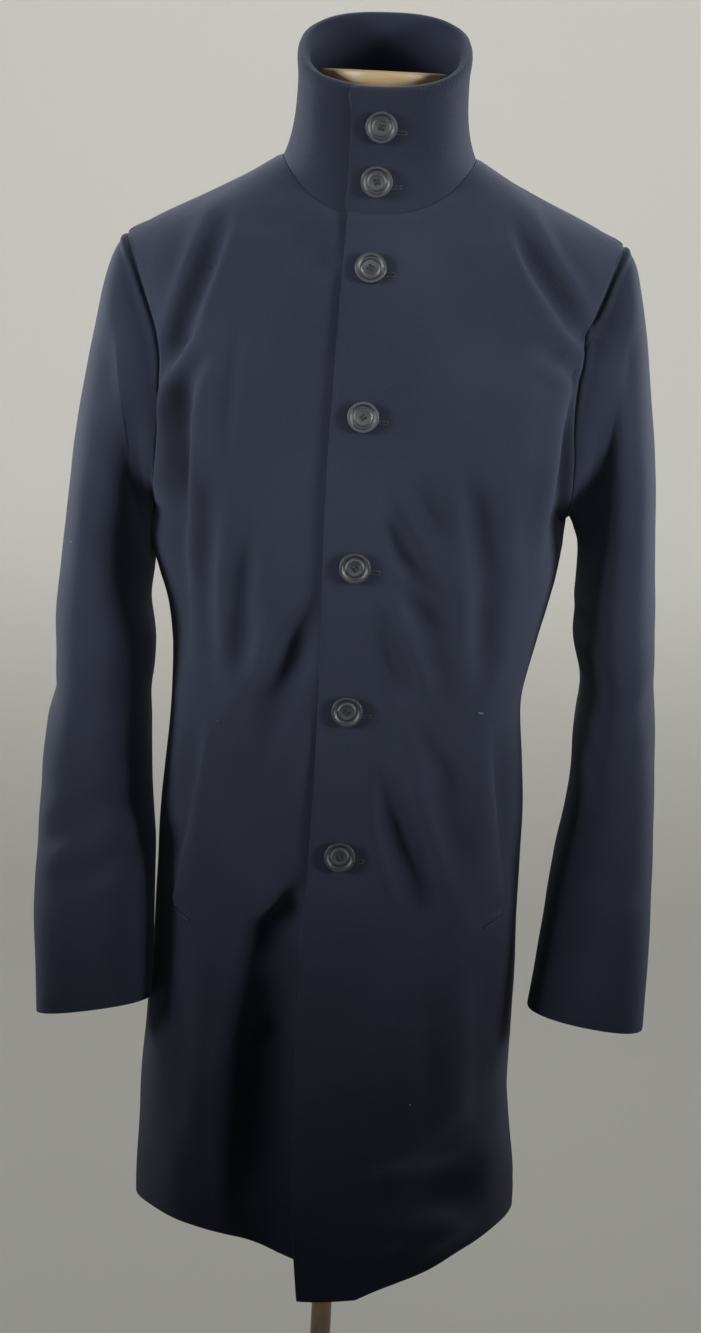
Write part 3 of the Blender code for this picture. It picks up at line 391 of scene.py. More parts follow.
bodyRings = makeTable(
    "height halfWidth shift front back power",
    (0.480, 0.1660, -0.0020, 0.162, 0.152, 2.00),
    (0.550, 0.1675, -0.0030, 0.158, 0.149, 2.00),
    (0.610, 0.1630, -0.0060, 0.150, 0.143, 2.10),
    (0.660, 0.1600, -0.0080, 0.145, 0.139, 2.20),
    (0.720, 0.1580, -0.0060, 0.141, 0.135, 2.25),
    (0.800, 0.1570, -0.0050, 0.137, 0.130, 2.25),
    (0.900, 0.1540, -0.0050, 0.131, 0.120, 2.25),
    (0.990, 0.1490, -0.0050, 0.127, 0.111, 2.25),
    (1.050, 0.1560, -0.0016, 0.130, 0.112, 2.25),
    (1.075, 0.1612, -0.0012, 0.132, 0.114, 2.25),
    (1.100, 0.1668, -0.0010, 0.134, 0.116, 2.25),
    (1.130, 0.1722, -0.0012, 0.135, 0.118, 2.25),
    (1.150, 0.1725, 0.0000, 0.136, 0.120, 2.25),
    (1.180, 0.1835, 0.0000, 0.136, 0.122, 2.20),
    (1.220, 0.1905, 0.0000, 0.133, 0.124, 2.20),
    (1.290, 0.1910, 0.0000, 0.123, 0.121, 2.30),
    (1.348, 0.1990, 0.0000, 0.109, 0.113, 2.35),
    (1.378, 0.2050, 0.0000, 0.097, 0.104, 2.15),
    (1.392, 0.1825, 0.0000, 0.090, 0.101, 2.05),
    (1.409, 0.1460, 0.0000, 0.083, 0.097, 2.00),
    (1.422, 0.1180, 0.0000, 0.076, 0.092, 2.00),
    (1.446, 0.0790, 0.0000, 0.062, 0.080, 2.00),
    (1.462, 0.0580, 0.0000, 0.055, 0.072, 2.00),
)
frontEdge = makeTable(
    "height edgeX",
    (0.480, -0.0170),
    (0.620, -0.0290),
    (0.770, -0.0310),
    (0.870, -0.0285),
    (1.000, -0.0265),
    (1.180, -0.0285),
    (1.300, -0.0260),
    (1.403, -0.0225),
)
hemColumns = "angle height"
hemLeft = makeTable(
    hemColumns, (0.0, 0.535), (30.0, 0.541), (50.0, 0.538), (70.0, 0.530), (90.0, 0.517), (104.0, 0.504)
)
hemRight = makeTable(
    hemColumns,
    (80.0, 0.538),
    (104.0, 0.541),
    (118.0, 0.551),
    (132.0, 0.557),
    (150.0, 0.553),
    (180.0, 0.536),
)
hemBack = makeTable(hemColumns, (-180.0, 0.536), (-90.0, 0.536), (0.0, 0.535))

# large folds as the solids have them: top and low end seen from the front, half width, depth
foldColumns = "topX topZ lowX lowZ halfWidth depth"
frontFolds = makeTable(
    foldColumns,
    (0.130, 1.395, 0.176, 1.280, 0.018, -0.0070),
    (0.150, 1.300, 0.176, 1.275, 0.012, 0.0035),
    (0.000, 1.200, 0.075, 1.060, 0.018, -0.0080),
    (0.035, 1.005, 0.078, 0.925, 0.018, -0.0060),
    (0.020, 0.940, 0.070, 0.820, 0.018, -0.0100),
    (-0.118, 1.405, -0.168, 1.250, 0.018, -0.0080),
    (-0.148, 1.290, -0.172, 1.250, 0.012, 0.0040),
    (-0.032, 1.090, -0.085, 0.960, 0.018, -0.0080),
    (-0.125, 1.220, -0.125, 1.050, 0.016, -0.0060),
)
leftSkirtFolds = makeTable(
    foldColumns,
    (0.095, 0.660, 0.115, 0.560, 0.028, -0.0080),
    (0.060, 0.560, 0.120, 0.480, 0.026, 0.0060),
    (-0.020, 0.860, -0.020, 0.380, 0.040, 0.0060),
)
rightSkirtFolds = makeTable(
    foldColumns,
    (-0.030, 0.880, -0.072, 0.800, 0.020, -0.0090),
    (-0.055, 0.860, -0.060, 0.360, 0.034, -0.0200),
    (-0.120, 0.800, -0.118, 0.400, 0.026, 0.0050),
)
backFolds = makeTable(
    foldColumns,
    (0.125, 1.350, 0.160, 1.210, 0.020, -0.0065),
    (-0.130, 1.340, -0.158, 1.220, 0.020, -0.0060),
    (0.100, 1.120, 0.030, 1.010, 0.020, -0.0055),
    (-0.105, 1.090, -0.035, 0.990, 0.020, -0.0060),
)
backSkirtFolds = makeTable(
    foldColumns,
    (0.060, 0.880, 0.075, 0.380, 0.035, 0.0080),
    (-0.055, 0.900, -0.075, 0.380, 0.035, 0.0080),
    (0.000, 0.800, 0.002, 0.380, 0.030, -0.0080),
)
panels = {
    "front_left": {"lap": 1, "folds": frontFolds, "skirt": leftSkirtFolds, "hem": hemLeft},
    "front_right": {"lap": -1, "folds": frontFolds, "skirt": rightSkirtFolds, "hem": hemRight},
    "back": {"lap": 0, "folds": backFolds, "skirt": backSkirtFolds, "hem": hemBack},
}

# creases, each listed with its own path (x, z), half width and depth
leftCreases = (
    ([(0.105, 1.414), (0.114, 1.392), (0.131, 1.360), (0.161, 1.320), (0.186, 1.294)], 0.0080, -0.0100),
    ([(0.122, 1.315), (0.150, 1.305), (0.169, 1.291), (0.184, 1.274)], 0.0070, 0.0030),
    ([(0.126, 1.304), (0.150, 1.294), (0.167, 1.281), (0.180, 1.258)], 0.0076, -0.0056),
    ([(0.060, 1.385), (0.076, 1.330), (0.080, 1.280)], 0.0140, -0.0036),
    ([(0.176, 1.285), (0.172, 1.241), (0.170, 1.199), (0.166, 1.151), (0.158, 1.100)], 0.0110, -0.0130),
    ([(-0.011, 1.207), (0.019, 1.158), (0.040, 1.125), (0.065, 1.078), (0.074, 1.049)], 0.0140, -0.0068),
    ([(0.034, 1.208), (0.054, 1.175), (0.070, 1.147)], 0.0090, -0.0038),
    ([(0.021, 1.192), (0.047, 1.149), (0.072, 1.104)], 0.0100, 0.0026),
    ([(0.009, 1.124), (0.041, 1.098), (0.067, 1.070)], 0.0080, -0.0038),
    ([(0.011, 1.109), (0.038, 1.068), (0.054, 1.029), (0.068, 1.002)], 0.0100, 0.0046),
    ([(0.003, 1.076), (0.030, 1.044), (0.050, 1.005)], 0.0110, -0.0036),
    ([(0.020, 0.988), (0.031, 0.921), (0.053, 0.871), (0.079, 0.813)], 0.0120, -0.0072),
    ([(0.040, 0.988), (0.055, 0.935), (0.075, 0.885), (0.095, 0.838)], 0.0100, 0.0032),
    ([(0.044, 1.008), (0.077, 0.962), (0.089, 0.924)], 0.0100, -0.0042),
    ([(0.079, 1.230), (0.093, 1.160), (0.107, 1.089), (0.108, 1.010)], 0.0130, -0.0078),
    ([(0.110, 1.114), (0.118, 1.062), (0.121, 1.012)], 0.0090, 0.0030),
    ([(-0.016, 0.714), (0.010, 0.702), (0.042, 0.682)], 0.0055, 0.0022),
    ([(-0.014, 0.703), (0.010, 0.691), (0.040, 0.671)], 0.0085, -0.0024),
    ([(0.028, 0.750), (0.061, 0.746), (0.096, 0.737)], 0.0060, 0.0020),
    ([(0.030, 0.740), (0.061, 0.735), (0.094, 0.726)], 0.0085, -0.0018),
    ([(0.010, 0.612), (0.076, 0.602), (0.140, 0.588)], 0.0170, -0.0150),
    ([(0.024, 0.566), (0.080, 0.560), (0.134, 0.554)], 0.0120, 0.0066),
    ([(0.1175, 0.998), (0.130, 0.910), (0.1425, 0.826)], 0.0090, -0.0052),
    ([(0.095, 0.985), (0.107, 0.910), (0.119, 0.835)], 0.0130, 0.0032),
    ([(0.120, 0.800), (0.128, 0.700), (0.124, 0.610)], 0.0150, -0.0046),
    ([(0.070, 0.800), (0.082, 0.720), (0.080, 0.640)], 0.0160, -0.0034),
)
rightCreases = (
    (
        [
            (-0.117, 1.412), (-0.126, 1.381), (-0.138, 1.344),
            (-0.150, 1.310), (-0.162, 1.268), (-0.167, 1.238),
        ],
        0.0078,
        -0.0112,
    ),
    ([(-0.164, 1.216), (-0.164, 1.253), (-0.157, 1.275), (-0.144, 1.290), (-0.118, 1.302)], 0.0064, 0.0048),
    ([(-0.128, 1.298), (-0.147, 1.268), (-0.151, 1.234), (-0.150, 1.194), (-0.152, 1.140)], 0.0082, -0.0125),
    ([(-0.158, 1.235), (-0.155, 1.167), (-0.153, 1.116), (-0.149, 1.064), (-0.140, 1.000)], 0.0120, -0.0125),
    ([(-0.103, 1.345), (-0.109, 1.292), (-0.112, 1.238), (-0.111, 1.180)], 0.0080, -0.0030),
    ([(-0.062, 1.392), (-0.045, 1.372), (-0.031, 1.350)], 0.0120, -0.0052),
    ([(-0.125, 1.189), (-0.123, 1.082), (-0.113, 1.004)], 0.0110, -0.0062),
    ([(-0.087, 1.164), (-0.095, 1.080), (-0.090, 1.009)], 0.0120, -0.0060),
    ([(-0.111, 1.169), (-0.109, 1.080), (-0.103, 1.004)], 0.0100, 0.0030),
    ([(-0.027, 1.103), (-0.050, 1.036), (-0.071, 0.977), (-0.091, 0.915)], 0.0180, -0.0068),
    ([(-0.041, 1.122), (-0.074, 1.044), (-0.095, 0.992)], 0.0110, 0.0042),
    ([(-0.103, 1.002), (-0.120, 0.938), (-0.129, 0.882)], 0.0110, 0.0028),
    ([(-0.025, 0.878), (-0.054, 0.848), (-0.094, 0.834)], 0.0110, 0.0056),
    ([(-0.026, 0.856), (-0.052, 0.815), (-0.079, 0.772)], 0.0150, -0.0050),
    ([(-0.030, 0.872), (-0.042, 0.797), (-0.047, 0.719), (-0.052, 0.639), (-0.050, 0.530)], 0.0330, -0.0150),
    ([(-0.122, 0.986), (-0.136, 0.905), (-0.150, 0.828)], 0.0090, -0.0052),
    ([(-0.098, 0.975), (-0.111, 0.905), (-0.125, 0.835)], 0.0130, 0.0032),
    ([(-0.084, 0.708), (-0.062, 0.722), (-0.040, 0.734)], 0.0090, -0.0026),
    ([(-0.132, 0.790), (-0.128, 0.690), (-0.134, 0.600)], 0.0150, -0.0046),
    ([(-0.098, 0.660), (-0.094, 0.600), (-0.098, 0.556)], 0.0130, 0.0036),
)
backCreases = (
    ([(0.118, 1.370), (0.140, 1.310), (0.158, 1.240)], 0.014, -0.0042),
    ([(-0.122, 1.372), (-0.142, 1.305), (-0.160, 1.236)], 0.014, -0.0046),
    ([(0.060, 1.400), (0.030, 1.385), (-0.012, 1.384), (-0.052, 1.398)], 0.012, -0.0034),
    ([(0.156, 1.104), (0.104, 1.070), (0.040, 1.056)], 0.014, -0.0038),
    ([(0.146, 1.052), (0.098, 1.018), (0.016, 1.004)], 0.013, -0.0040),
    ([(-0.154, 1.088), (-0.100, 1.048), (-0.028, 1.040)], 0.015, -0.0042),
    ([(-0.142, 1.022), (-0.096, 0.996), (-0.040, 0.990)], 0.012, -0.0032),
    ([(0.012, 1.180), (0.006, 1.120), (0.010, 1.060)], 0.016, -0.0030),
    ([(0.100, 0.940), (0.116, 0.760), (0.112, 0.600), (0.118, 0.440)], 0.026, -0.0052),
    ([(-0.104, 0.930), (-0.122, 0.780), (-0.116, 0.610), (-0.124, 0.440)], 0.028, -0.0054),
    ([(0.030, 0.800), (0.040, 0.660), (0.036, 0.440)], 0.022, -0.0040),
    ([(-0.040, 0.770), (-0.034, 0.640), (-0.046, 0.440)], 0.020, -0.0044),
    ([(0.070, 0.700), (0.078, 0.580), (0.074, 0.440)], 0.018, 0.0036),
    ([(-0.082, 0.690), (-0.078, 0.570), (-0.086, 0.440)], 0.018, 0.0038),
)
panelCreases = {"front_left": leftCreases, "front_right": rightCreases, "back": backCreases}
creaseShape = {  # shares of the length that rise and fall, and the low shoulders beside a crease
    "rise": 0.36,
    "fall": 0.40,
    "ends": 0.06,
    "shoulder": 0.30,
    "shoulderAt": 1.75,
    "shoulderWidth": 0.9,
}
ripple = {"broad": 0.0011, "broadScale": 10.0, "fine": 0.00045, "fineScale": 28.0}


def ringPoint(z, angle):
    power = 2 / curveAt(bodyRings, "power", z)
    across, ahead = np.cos(angle), np.sin(angle)
    depth = np.where(ahead > 0, -curveAt(bodyRings, "front", z), curveAt(bodyRings, "back", z))
    x = curveAt(bodyRings, "shift", z)
    x = x + curveAt(bodyRings, "halfWidth", z) * np.sign(across) * np.abs(across) ** power
    return np.stack([x, depth * np.abs(ahead) ** power, z + 0.0 * x], axis=-1)


def angleAtX(z, x, facing):
    reach = np.clip((x - curveAt(bodyRings, "shift", z)) / curveAt(bodyRings, "halfWidth", z), -1.0, 1.0)
    return facing * np.arccos(np.sign(reach) * np.abs(reach) ** (curveAt(bodyRings, "power", z) / 2))


def angleAtDepth(z, depth, facing, side):
    full = curveAt(bodyRings, "front" if facing > 0 else "back", z)
    turn = np.arcsin(np.clip(depth / full, 0.0, 1.0) ** (curveAt(bodyRings, "power", z) / 2))
    return facing * (turn if side > 0 else np.pi - turn)


def foldHeight(folds, x, z):
    total = np.zeros(np.broadcast(x, z).shape)
    for topX, topZ, lowX, lowZ, halfWidth, depth in zip(*folds.values()):
        runX, runZ = lowX - topX, lowZ - topZ
        length = math.hypot(runX, runZ)
        place = ((x - topX) * runX + (z - topZ) * runZ) / length**2
        aside = ((x - topX) * runZ - (z - topZ) * runX) / length
        ends = easeStep(place / coat["foldEnds"]) * easeStep((1 - place) / coat["foldEnds"])
        total = total + depth * ends * bell(aside / halfWidth)
    return total


def roundedPath(path):  # cuts the corners twice, so that no crease has a kink
    points = [np.array(point) for point in path]
    for turn in range(2):
        cut = [points[0]]
        for a, b in zip(points[:-1], points[1:]):
            cut += [0.75 * a + 0.25 * b, 0.25 * a + 0.75 * b]
        points = cut + [points[-1]]
    return points


def creaseSection(off):  # a soft trough or ridge with low shoulders beside it
    beside = bell((off - creaseShape["shoulderAt"]) / creaseShape["shoulderWidth"])
    return bell(off) - creaseShape["shoulder"] * beside


def creaseHeight(creases, x, z):
    total = np.zeros(x.shape)
    for corners, halfWidth, depth in creases:
        path = roundedPath(corners)
        lengths = [math.dist(a, b) for a, b in zip(path[:-1], path[1:])]
        whole = sum(lengths)
        nearest = np.full(x.shape, 1e9)
        place = np.zeros(x.shape)
        before = 0.0
        for (ax, az), (bx, bz), length in zip(path[:-1], path[1:], lengths):
            t = ((x - ax) * (bx - ax) + (z - az) * (bz - az)) / length**2
            t = np.clip(t, 0.0, 1.0)
            away = np.hypot(x - ax - t * (bx - ax), z - az - t * (bz - az))
            closer = away < nearest
            nearest = np.where(closer, away, nearest)
            place = np.where(closer, (before + t * length) / whole, place)
            before += length
        ends = easeStep(place / creaseShape["rise"] + creaseShape["ends"])
        ends = ends * easeStep((1 - place) / creaseShape["fall"] + creaseShape["ends"])
        total = total + depth * ends * creaseSection(nearest / halfWidth)
    return total


def clothRipple(points):
    flat = points.reshape(-1, 3)
    broad = [noise.noise(Vector(p) * ripple["broadScale"]) for p in flat]
    fine = [noise.noise(Vector(p) * ripple["fineScale"]) for p in flat]
    return (ripple["broad"] * np.array(broad) + ripple["fine"] * np.array(fine)).reshape(points.shape[:-1])


def gridNormals(points, closed=False):
    if closed:
        around = np.roll(points, -1, axis=1) - np.roll(points, 1, axis=1)
    else:
        around = np.gradient(points, axis=1)
    normal = unitOf(np.cross(around, np.gradient(points, axis=0)))
    middle = points.mean(axis=1, keepdims=True) if closed else np.array([0.0, 0.0, 0.0])
    outwards = (points - middle) * np.array([1.0, 1.0, 0.0 if not closed else 1.0])
    sign = 1.0 if (normal * outwards).sum() > 0 else -1.0
    return sign * normal, sign


def panelPoint(name, z, angle):
    panel = panels[name]
    z = np.asarray(z, dtype=float)
    plain = ringPoint(z, angle)
    x = plain[..., 0]
    lap = panel["lap"] * 0.5 * (coat["cloth"] + coat["lapGap"])
    lap = lap * (1 - easeStep((np.abs(x) - coat["lapFlat"]) / coat["lapFade"]))
    calm = easeStep((coat["shoulderTip"] - coat["foldBelowTip"] - z) / coat["foldFade"])
    if panel["lap"]:
        calm = calm * easeStep((np.abs(x - coat["lapMiddle"]) - coat["foldAtLap"]) / coat["foldLapFade"])
    out = lap + coat["foldShare"] * calm * foldHeight(panel["folds"], x, z) + foldHeight(panel["skirt"], x, z)
    rise, turn = coat["normalRise"], coat["normalTurn"]
    up = ringPoint(z + rise, angle) - ringPoint(z - rise, angle)
    around = ringPoint(z, angle + turn) - ringPoint(z, angle - turn)
    return plain + out[..., None] * unitOf(np.cross(up, around))


def armholeAt(share, facing, side):
    turn = math.pi * share
    low, high = coat["armpit"], coat["shoulderTip"]
    z = 0.5 * (low + high) - 0.5 * (high - low) * math.cos(turn)
    widest = coat["armholeFront"] if facing > 0 else coat["armholeBack"]
    depth = widest * math.sin(turn) * (1 + coat["armholeScoop"] * math.cos(turn))
    return z, angleAtDepth(z, max(depth, coat["seamGap"] / 2), facing, side)


# heights and angles of a panel's grid, from the hem up; startAt and endAt give its two upper edges
def raiseRows(hem, level, topZ, topAngle, startAt, endAt):
    heights = [hem + (coat["armpit"] - hem) * row / coat["lowerRows"] for row in range(coat["lowerRows"])]
    angles = [level(z) for z in heights]
    lowZ = np.full(len(hem), coat["armpit"])
    lowAngle = level(lowZ)
    even = np.arange(len(hem)) / (len(hem) - 1)
    for row in range(coat["upperRows"] + 1):
        way = row / coat["upperRows"]
        startZ, startAngle = startAt(way)
        endZ, endAngle = endAt(way)
        z = blend(lowZ, topZ, way)
        angle = blend(lowAngle, topAngle, way)
        heights.append(z + (startZ - z[0]) * (1 - even) + (endZ - z[-1]) * even)
        angles.append(angle + (startAngle - angle[0]) * (1 - even) + (endAngle - angle[-1]) * even)
    return np.array(heights), np.array(angles)


def frontRows(name, side):  # from the front edge to the side
    count, lapCount = coat["frontColumns"], coat["lapColumns"]
    columns = np.arange(count + 1)
    lap = columns[: lapCount + 1]
    lapStep = coat["lapWidth"] / lapCount
    share = np.clip((columns - lapCount) / (count - lapCount), 0.0, 1.0)
    steps = lap if side > 0 else lapCount - lap
    sideAngle = 0.0 if side > 0 else 180.0
    hemAngle = blend(coat["frontEdgeAngle"], sideAngle, share)
    hem = curveAt(panels[name]["hem"], "height", hemAngle)
    halfGap = coat["seamGap"] / 2

    def level(z):
        angle = np.empty(count + 1)
        edge = curveAt(frontEdge, "edgeX", z[: lapCount + 1]) + lapStep * steps
        angle[: lapCount + 1] = angleAtX(z[: lapCount + 1], edge, 1)
        seam = angleAtDepth(z, halfGap, 1, side)
        return np.where(share > 0, blend(angle[lapCount], seam, share), angle)

    def edgeAt(way):
        z = blend(coat["armpit"], coat["frontNeck"], way)
        return z, angleAtX(z, float(curveAt(frontEdge, "edgeX", z)) + lapStep * steps[0], 1)

    neckCount = count - coat["backSeamColumns"]
    startX = float(curveAt(frontEdge, "edgeX", coat["frontNeck"])) + lapStep * steps[0]
    neckStart = math.asin(startX / coat["neckHalfWidth"])
    neckTurn = neckStart + (side * math.pi / 2 - neckStart) * np.arange(neckCount) / neckCount
    neckX = coat["neckHalfWidth"] * np.sin(neckTurn)
    lift = (np.abs(neckX) / coat["neckHalfWidth"]) ** coat["neckCurve"]
    neckZ = blend(coat["frontNeck"], coat["sideNeck"], lift)
    seamShare = np.arange(coat["backSeamColumns"] + 1) / coat["backSeamColumns"]
    seamZ = blend(coat["sideNeck"], coat["shoulderTip"], seamShare)
    topZ = np.concatenate([neckZ, seamZ])
    topAngle = np.concatenate([angleAtX(neckZ, neckX, 1), angleAtDepth(seamZ, halfGap, 1, side)])
    return raiseRows(hem, level, topZ, topAngle, edgeAt, lambda way: armholeAt(way, 1, side))


def backRows():  # from left to right
    count, seamCount = coat["backColumns"], coat["backSeamColumns"]
    share = np.arange(count + 1) / count
    hem = curveAt(hemBack, "height", -180.0 * share)
    halfGap = coat["seamGap"] / 2

    def level(z):
        first = angleAtDepth(z, halfGap, -1, 1)
        last = angleAtDepth(z, halfGap, -1, -1)
        return blend(first, last, share)

    seamShare = np.arange(seamCount + 1)
    seamZ = coat["shoulderTip"] + (coat["sideNeck"] - coat["shoulderTip"]) * seamShare / seamCount
    neckCount = count - 2 * seamCount
    neckX = coat["neckHalfWidth"] * np.cos(np.pi * np.arange(1, neckCount) / neckCount)
    neckZ = coat["backNeck"] - (coat["backNeck"] - coat["sideNeck"]) * (neckX / coat["neckHalfWidth"]) ** 2
    topZ = np.concatenate([seamZ, neckZ, seamZ[::-1]])
    seamLeft = angleAtDepth(seamZ, halfGap, -1, 1)
    seamRight = angleAtDepth(seamZ[::-1], halfGap, -1, -1)
    topAngle = np.concatenate([seamLeft, angleAtX(neckZ, neckX, -1), seamRight])
    leftAt, rightAt = (lambda way: armholeAt(way, -1, 1)), (lambda way: armholeAt(way, -1, -1))
    return raiseRows(hem, level, topZ, topAngle, leftAt, rightAt)


def softenShoulders(points):
    soft = np.array(points)
    for _ in range(coat["softRounds"]):
        here = soft[1:-1, 1:-1]
        middle = 0.25 * (soft[2:, 1:-1] + soft[:-2, 1:-1] + soft[1:-1, 2:] + soft[1:-1, :-2])
        share = easeStep((here[..., 2:] - coat["softFrom"]) / coat["softFade"])
        share = share * easeStep((np.abs(here[..., :1]) - coat["softX"]) / coat["softFade"])
        soft[1:-1, 1:-1] = here + coat["softShare"] * share * (middle - here)
    return soft


def leanOver(points):  # the coat's left side hangs a little higher than its right
    moved = np.array(points, dtype=float)
    moved[..., 2] += coat["lean"] * moved[..., 0]
    return moved


def runLengths(points, axis):
    steps = np.linalg.norm(np.diff(points, axis=axis), axis=-1)
    start = np.zeros_like(np.take(steps, [0], axis=axis))
    return np.concatenate([start, np.cumsum(steps, axis=axis)], axis=axis)


# a cloth shell with an outer and an inner face; free edges are rounded over, sewn ones stay flat
def clothShell(name, outer, inner, freeEdges, closed=False):
    rows, columns = outer.shape[:2]
    sign = gridNormals(outer, closed)[1]
    around = np.concatenate([outer, outer[:, :1]], axis=1) if closed else outer
    up = runLengths(outer, 0)
    up = np.concatenate([up, up[:, :1]], axis=1) if closed else up
    cut = np.stack([runLengths(around, 1), up], axis=-1)
    spans = columns if closed else columns - 1
    i, j = np.meshgrid(np.arange(rows - 1), np.arange(spans), indexing="ij")
    i, j = i.ravel(), j.ravel()
    k = (j + 1) % columns
    here, above = i * columns, (i + 1) * columns
    quads = np.stack([here + j, here + k, above + k, above + j], axis=-1)
    quadCut = np.stack([cut[i, j], cut[i, j + 1], cut[i + 1, j + 1], cut[i + 1, j]], axis=1)
    count = rows * columns
    faces = [quads, quads[:, ::-1] + count]
    faceCuts = [quadCut, quadCut[:, ::-1]]
    points = [outer.reshape(-1, 3), inner.reshape(-1, 3)]
    low = [(0, c) for c in range(columns)]
    high = [(rows - 1, c) for c in reversed(range(columns))]
    if closed:
        loops = [low, high]
    else:
        right = [(r, columns - 1) for r in range(rows)]
        left = [(r, 0) for r in reversed(range(rows))]
        loops = [low[:-1] + right[:-1] + high[:-1] + left[:-1]]
    nextPoint = 2 * count
    for loop in loops:
        r = np.array([place[0] for place in loop])
        c = np.array([place[1] for place in loop])
        rim, back = outer[r, c], inner[r, c]
        push = np.zeros_like(rim)
        for letter, hit, inward in (
            ("b", r == 0, (np.minimum(r + 1, rows - 1), c)),
            ("t", r == rows - 1, (np.maximum(r - 1, 0), c)),
            ("l", (c == 0) & (not closed), (r, np.minimum(c + 1, columns - 1))),
            ("r", (c == columns - 1) & (not closed), (r, np.maximum(c - 1, 0))),
        ):
            if letter in freeEdges:
                push += np.where(hit[:, None], unitOf(rim - outer[inward]), 0.0)
        push = unitOf(push) * np.linalg.norm(rim - back, axis=-1, keepdims=True)
        bands = [r * columns + c]
        for depth, out in coat["rimProfile"]:
            points.append(rim + depth * (back - rim) + out * push)
            bands.append(nextPoint + np.arange(len(loop)))
            nextPoint += len(loop)
        bands.append(count + r * columns + c)
        here = cut[r, c]
        for first, second in zip(bands[:-1], bands[1:]):
            ahead = np.roll(first, -1)
            faces.append(np.stack([ahead, first, second, np.roll(second, -1)], axis=-1))
            hereNext = np.roll(here, -1, axis=0)
            faceCuts.append(np.stack([hereNext, here, here, hereNext], axis=1))
    faces, faceCuts = np.concatenate(faces), np.concatenate(faceCuts)
    if sign < 0:
        faces, faceCuts = faces[:, ::-1], faceCuts[:, ::-1]
    mesh = bpy.data.meshes.new(name)
    mesh.from_pydata(np.concatenate(points).tolist(), [], faces.tolist())
    layer = mesh.uv_layers.new(name="cut")
    layer.data.foreach_set("uv", faceCuts.astype(np.float32).ravel())
    mesh.shade_smooth()
    mesh.set_sharp_from_angle(angle=math.radians(coat["sharpAngle"]))
    mesh.materials.append(coatTwill)
    return addPiece(name, mesh)


def sewIn(piece, node):
    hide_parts(node)
    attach(piece, "root")


def hangCloth(name, outer, inner, freeEdges, closed=False):
    piece = clothShell("cloth_" + name, leanOver(outer), leanOver(inner), freeEdges, closed)
    sewIn(piece, name)


sewnFade = {"side": 0.011, "neck": 0.014, "seamDip": 0.0016, "seamWidth": 0.0042}
clothGrids = {}


def edgeFades(name, points):  # creases die out before a seam, and the cloth dips a little at it
    across = runLengths(points, 1)
    up = runLengths(points, 0)
    fromEnd = across[:, -1:] - across
    fromTop = up[-1:] - up
    fade = easeStep(fromEnd / sewnFade["side"])
    dip = bell(fromEnd / sewnFade["seamWidth"])
    if name == "back":
        fade = fade * easeStep(across / sewnFade["side"])
        dip = dip + bell(across / sewnFade["seamWidth"])
    top = easeStep(fromTop / sewnFade["neck"])
    dip = dip + bell(fromTop / sewnFade["seamWidth"])
    return fade * top, sewnFade["seamDip"] * np.clip(dip, 0.0, 1.0)


def buildPanel(name, rows, freeEdges):
    plain = softenShoulders(panelPoint(name, *rows))
    normal = gridNormals(plain)[0]
    x, z = plain[..., 0], plain[..., 2]
    fade, dip = edgeFades(name, plain)
    calm = 1.0
    if panels[name]["lap"]:
        calm = easeStep((np.abs(x - coat["lapMiddle"]) - coat["creaseAtLap"]) / coat["creaseLapFade"])
        free = easeStep((coat["openBelow"] - z) / coat["openFade"])
        calm = np.where(z < coat["openBelow"], np.maximum(calm, free), calm)
    out = fade * (calm * creaseHeight(panelCreases[name], x, z) + clothRipple(plain)) - dip
    outer = plain + out[..., None] * normal
    normal = gridNormals(outer)[0]
    inner = outer - coat["cloth"] * normal
    clothGrids[name] = {"outer": outer, "inner": inner, "normal": normal}
    hangCloth(name, outer, inner, freeEdges)


buildPanel("front_left", frontRows("front_left", 1), "bl")
buildPanel("front_right", frontRows("front_right", -1), "bl")
buildPanel("back", backRows(), "b")
print("body panels hung")


# set-in sleeves
sleeveColumns = "station outerX outerZ innerX innerZ halfDepth centreY frontRise power"
leftSleeveRings = makeTable(
    sleeveColumns,
    (0, 0.2050, 1.3780, 0.1725, 1.1503, 0.061, 0.000, 0.000, 2.0),
    (1, 0.2110, 1.3720, 0.1748, 1.1520, 0.064, 0.000, 0.000, 2.0),
    (2, 0.2165, 1.3600, 0.1770, 1.1475, 0.067, 0.001, 0.000, 2.0),
    (3, 0.2215, 1.3380, 0.1790, 1.1410, 0.070, 0.002, 0.000, 2.1),
    (4, 0.2280, 1.3050, 0.1815, 1.1340, 0.073, 0.003, 0.000, 2.1),
    (5, 0.2355, 1.2550, 0.1840, 1.1240, 0.076, 0.005, 0.000, 2.1),
    (6, 0.2430, 1.2000, 0.1850, 1.1100, 0.078, 0.007, 0.000, 2.1),
    (7, 0.2472, 1.1400, 0.1850, 1.0850, 0.079, 0.008, 0.000, 2.1),
    (8, 0.2520, 1.0700, 0.1855, 1.0430, 0.078, 0.006, 0.000, 2.1),
    (9, 0.2572, 0.9950, 0.1925, 0.9900, 0.076, 0.002, 0.000, 2.2),
    (10, 0.2618, 0.9250, 0.1908, 0.9300, 0.071, -0.006, 0.002, 2.2),
    (11, 0.2640, 0.8550, 0.1806, 0.8620, 0.065, -0.017, 0.005, 2.2),
    (12, 0.2650, 0.7840, 0.1717, 0.7950, 0.058, -0.030, 0.005, 2.3),
    (13, 0.2630, 0.7170, 0.1635, 0.7340, 0.050, -0.044, 0.006, 2.3),
)
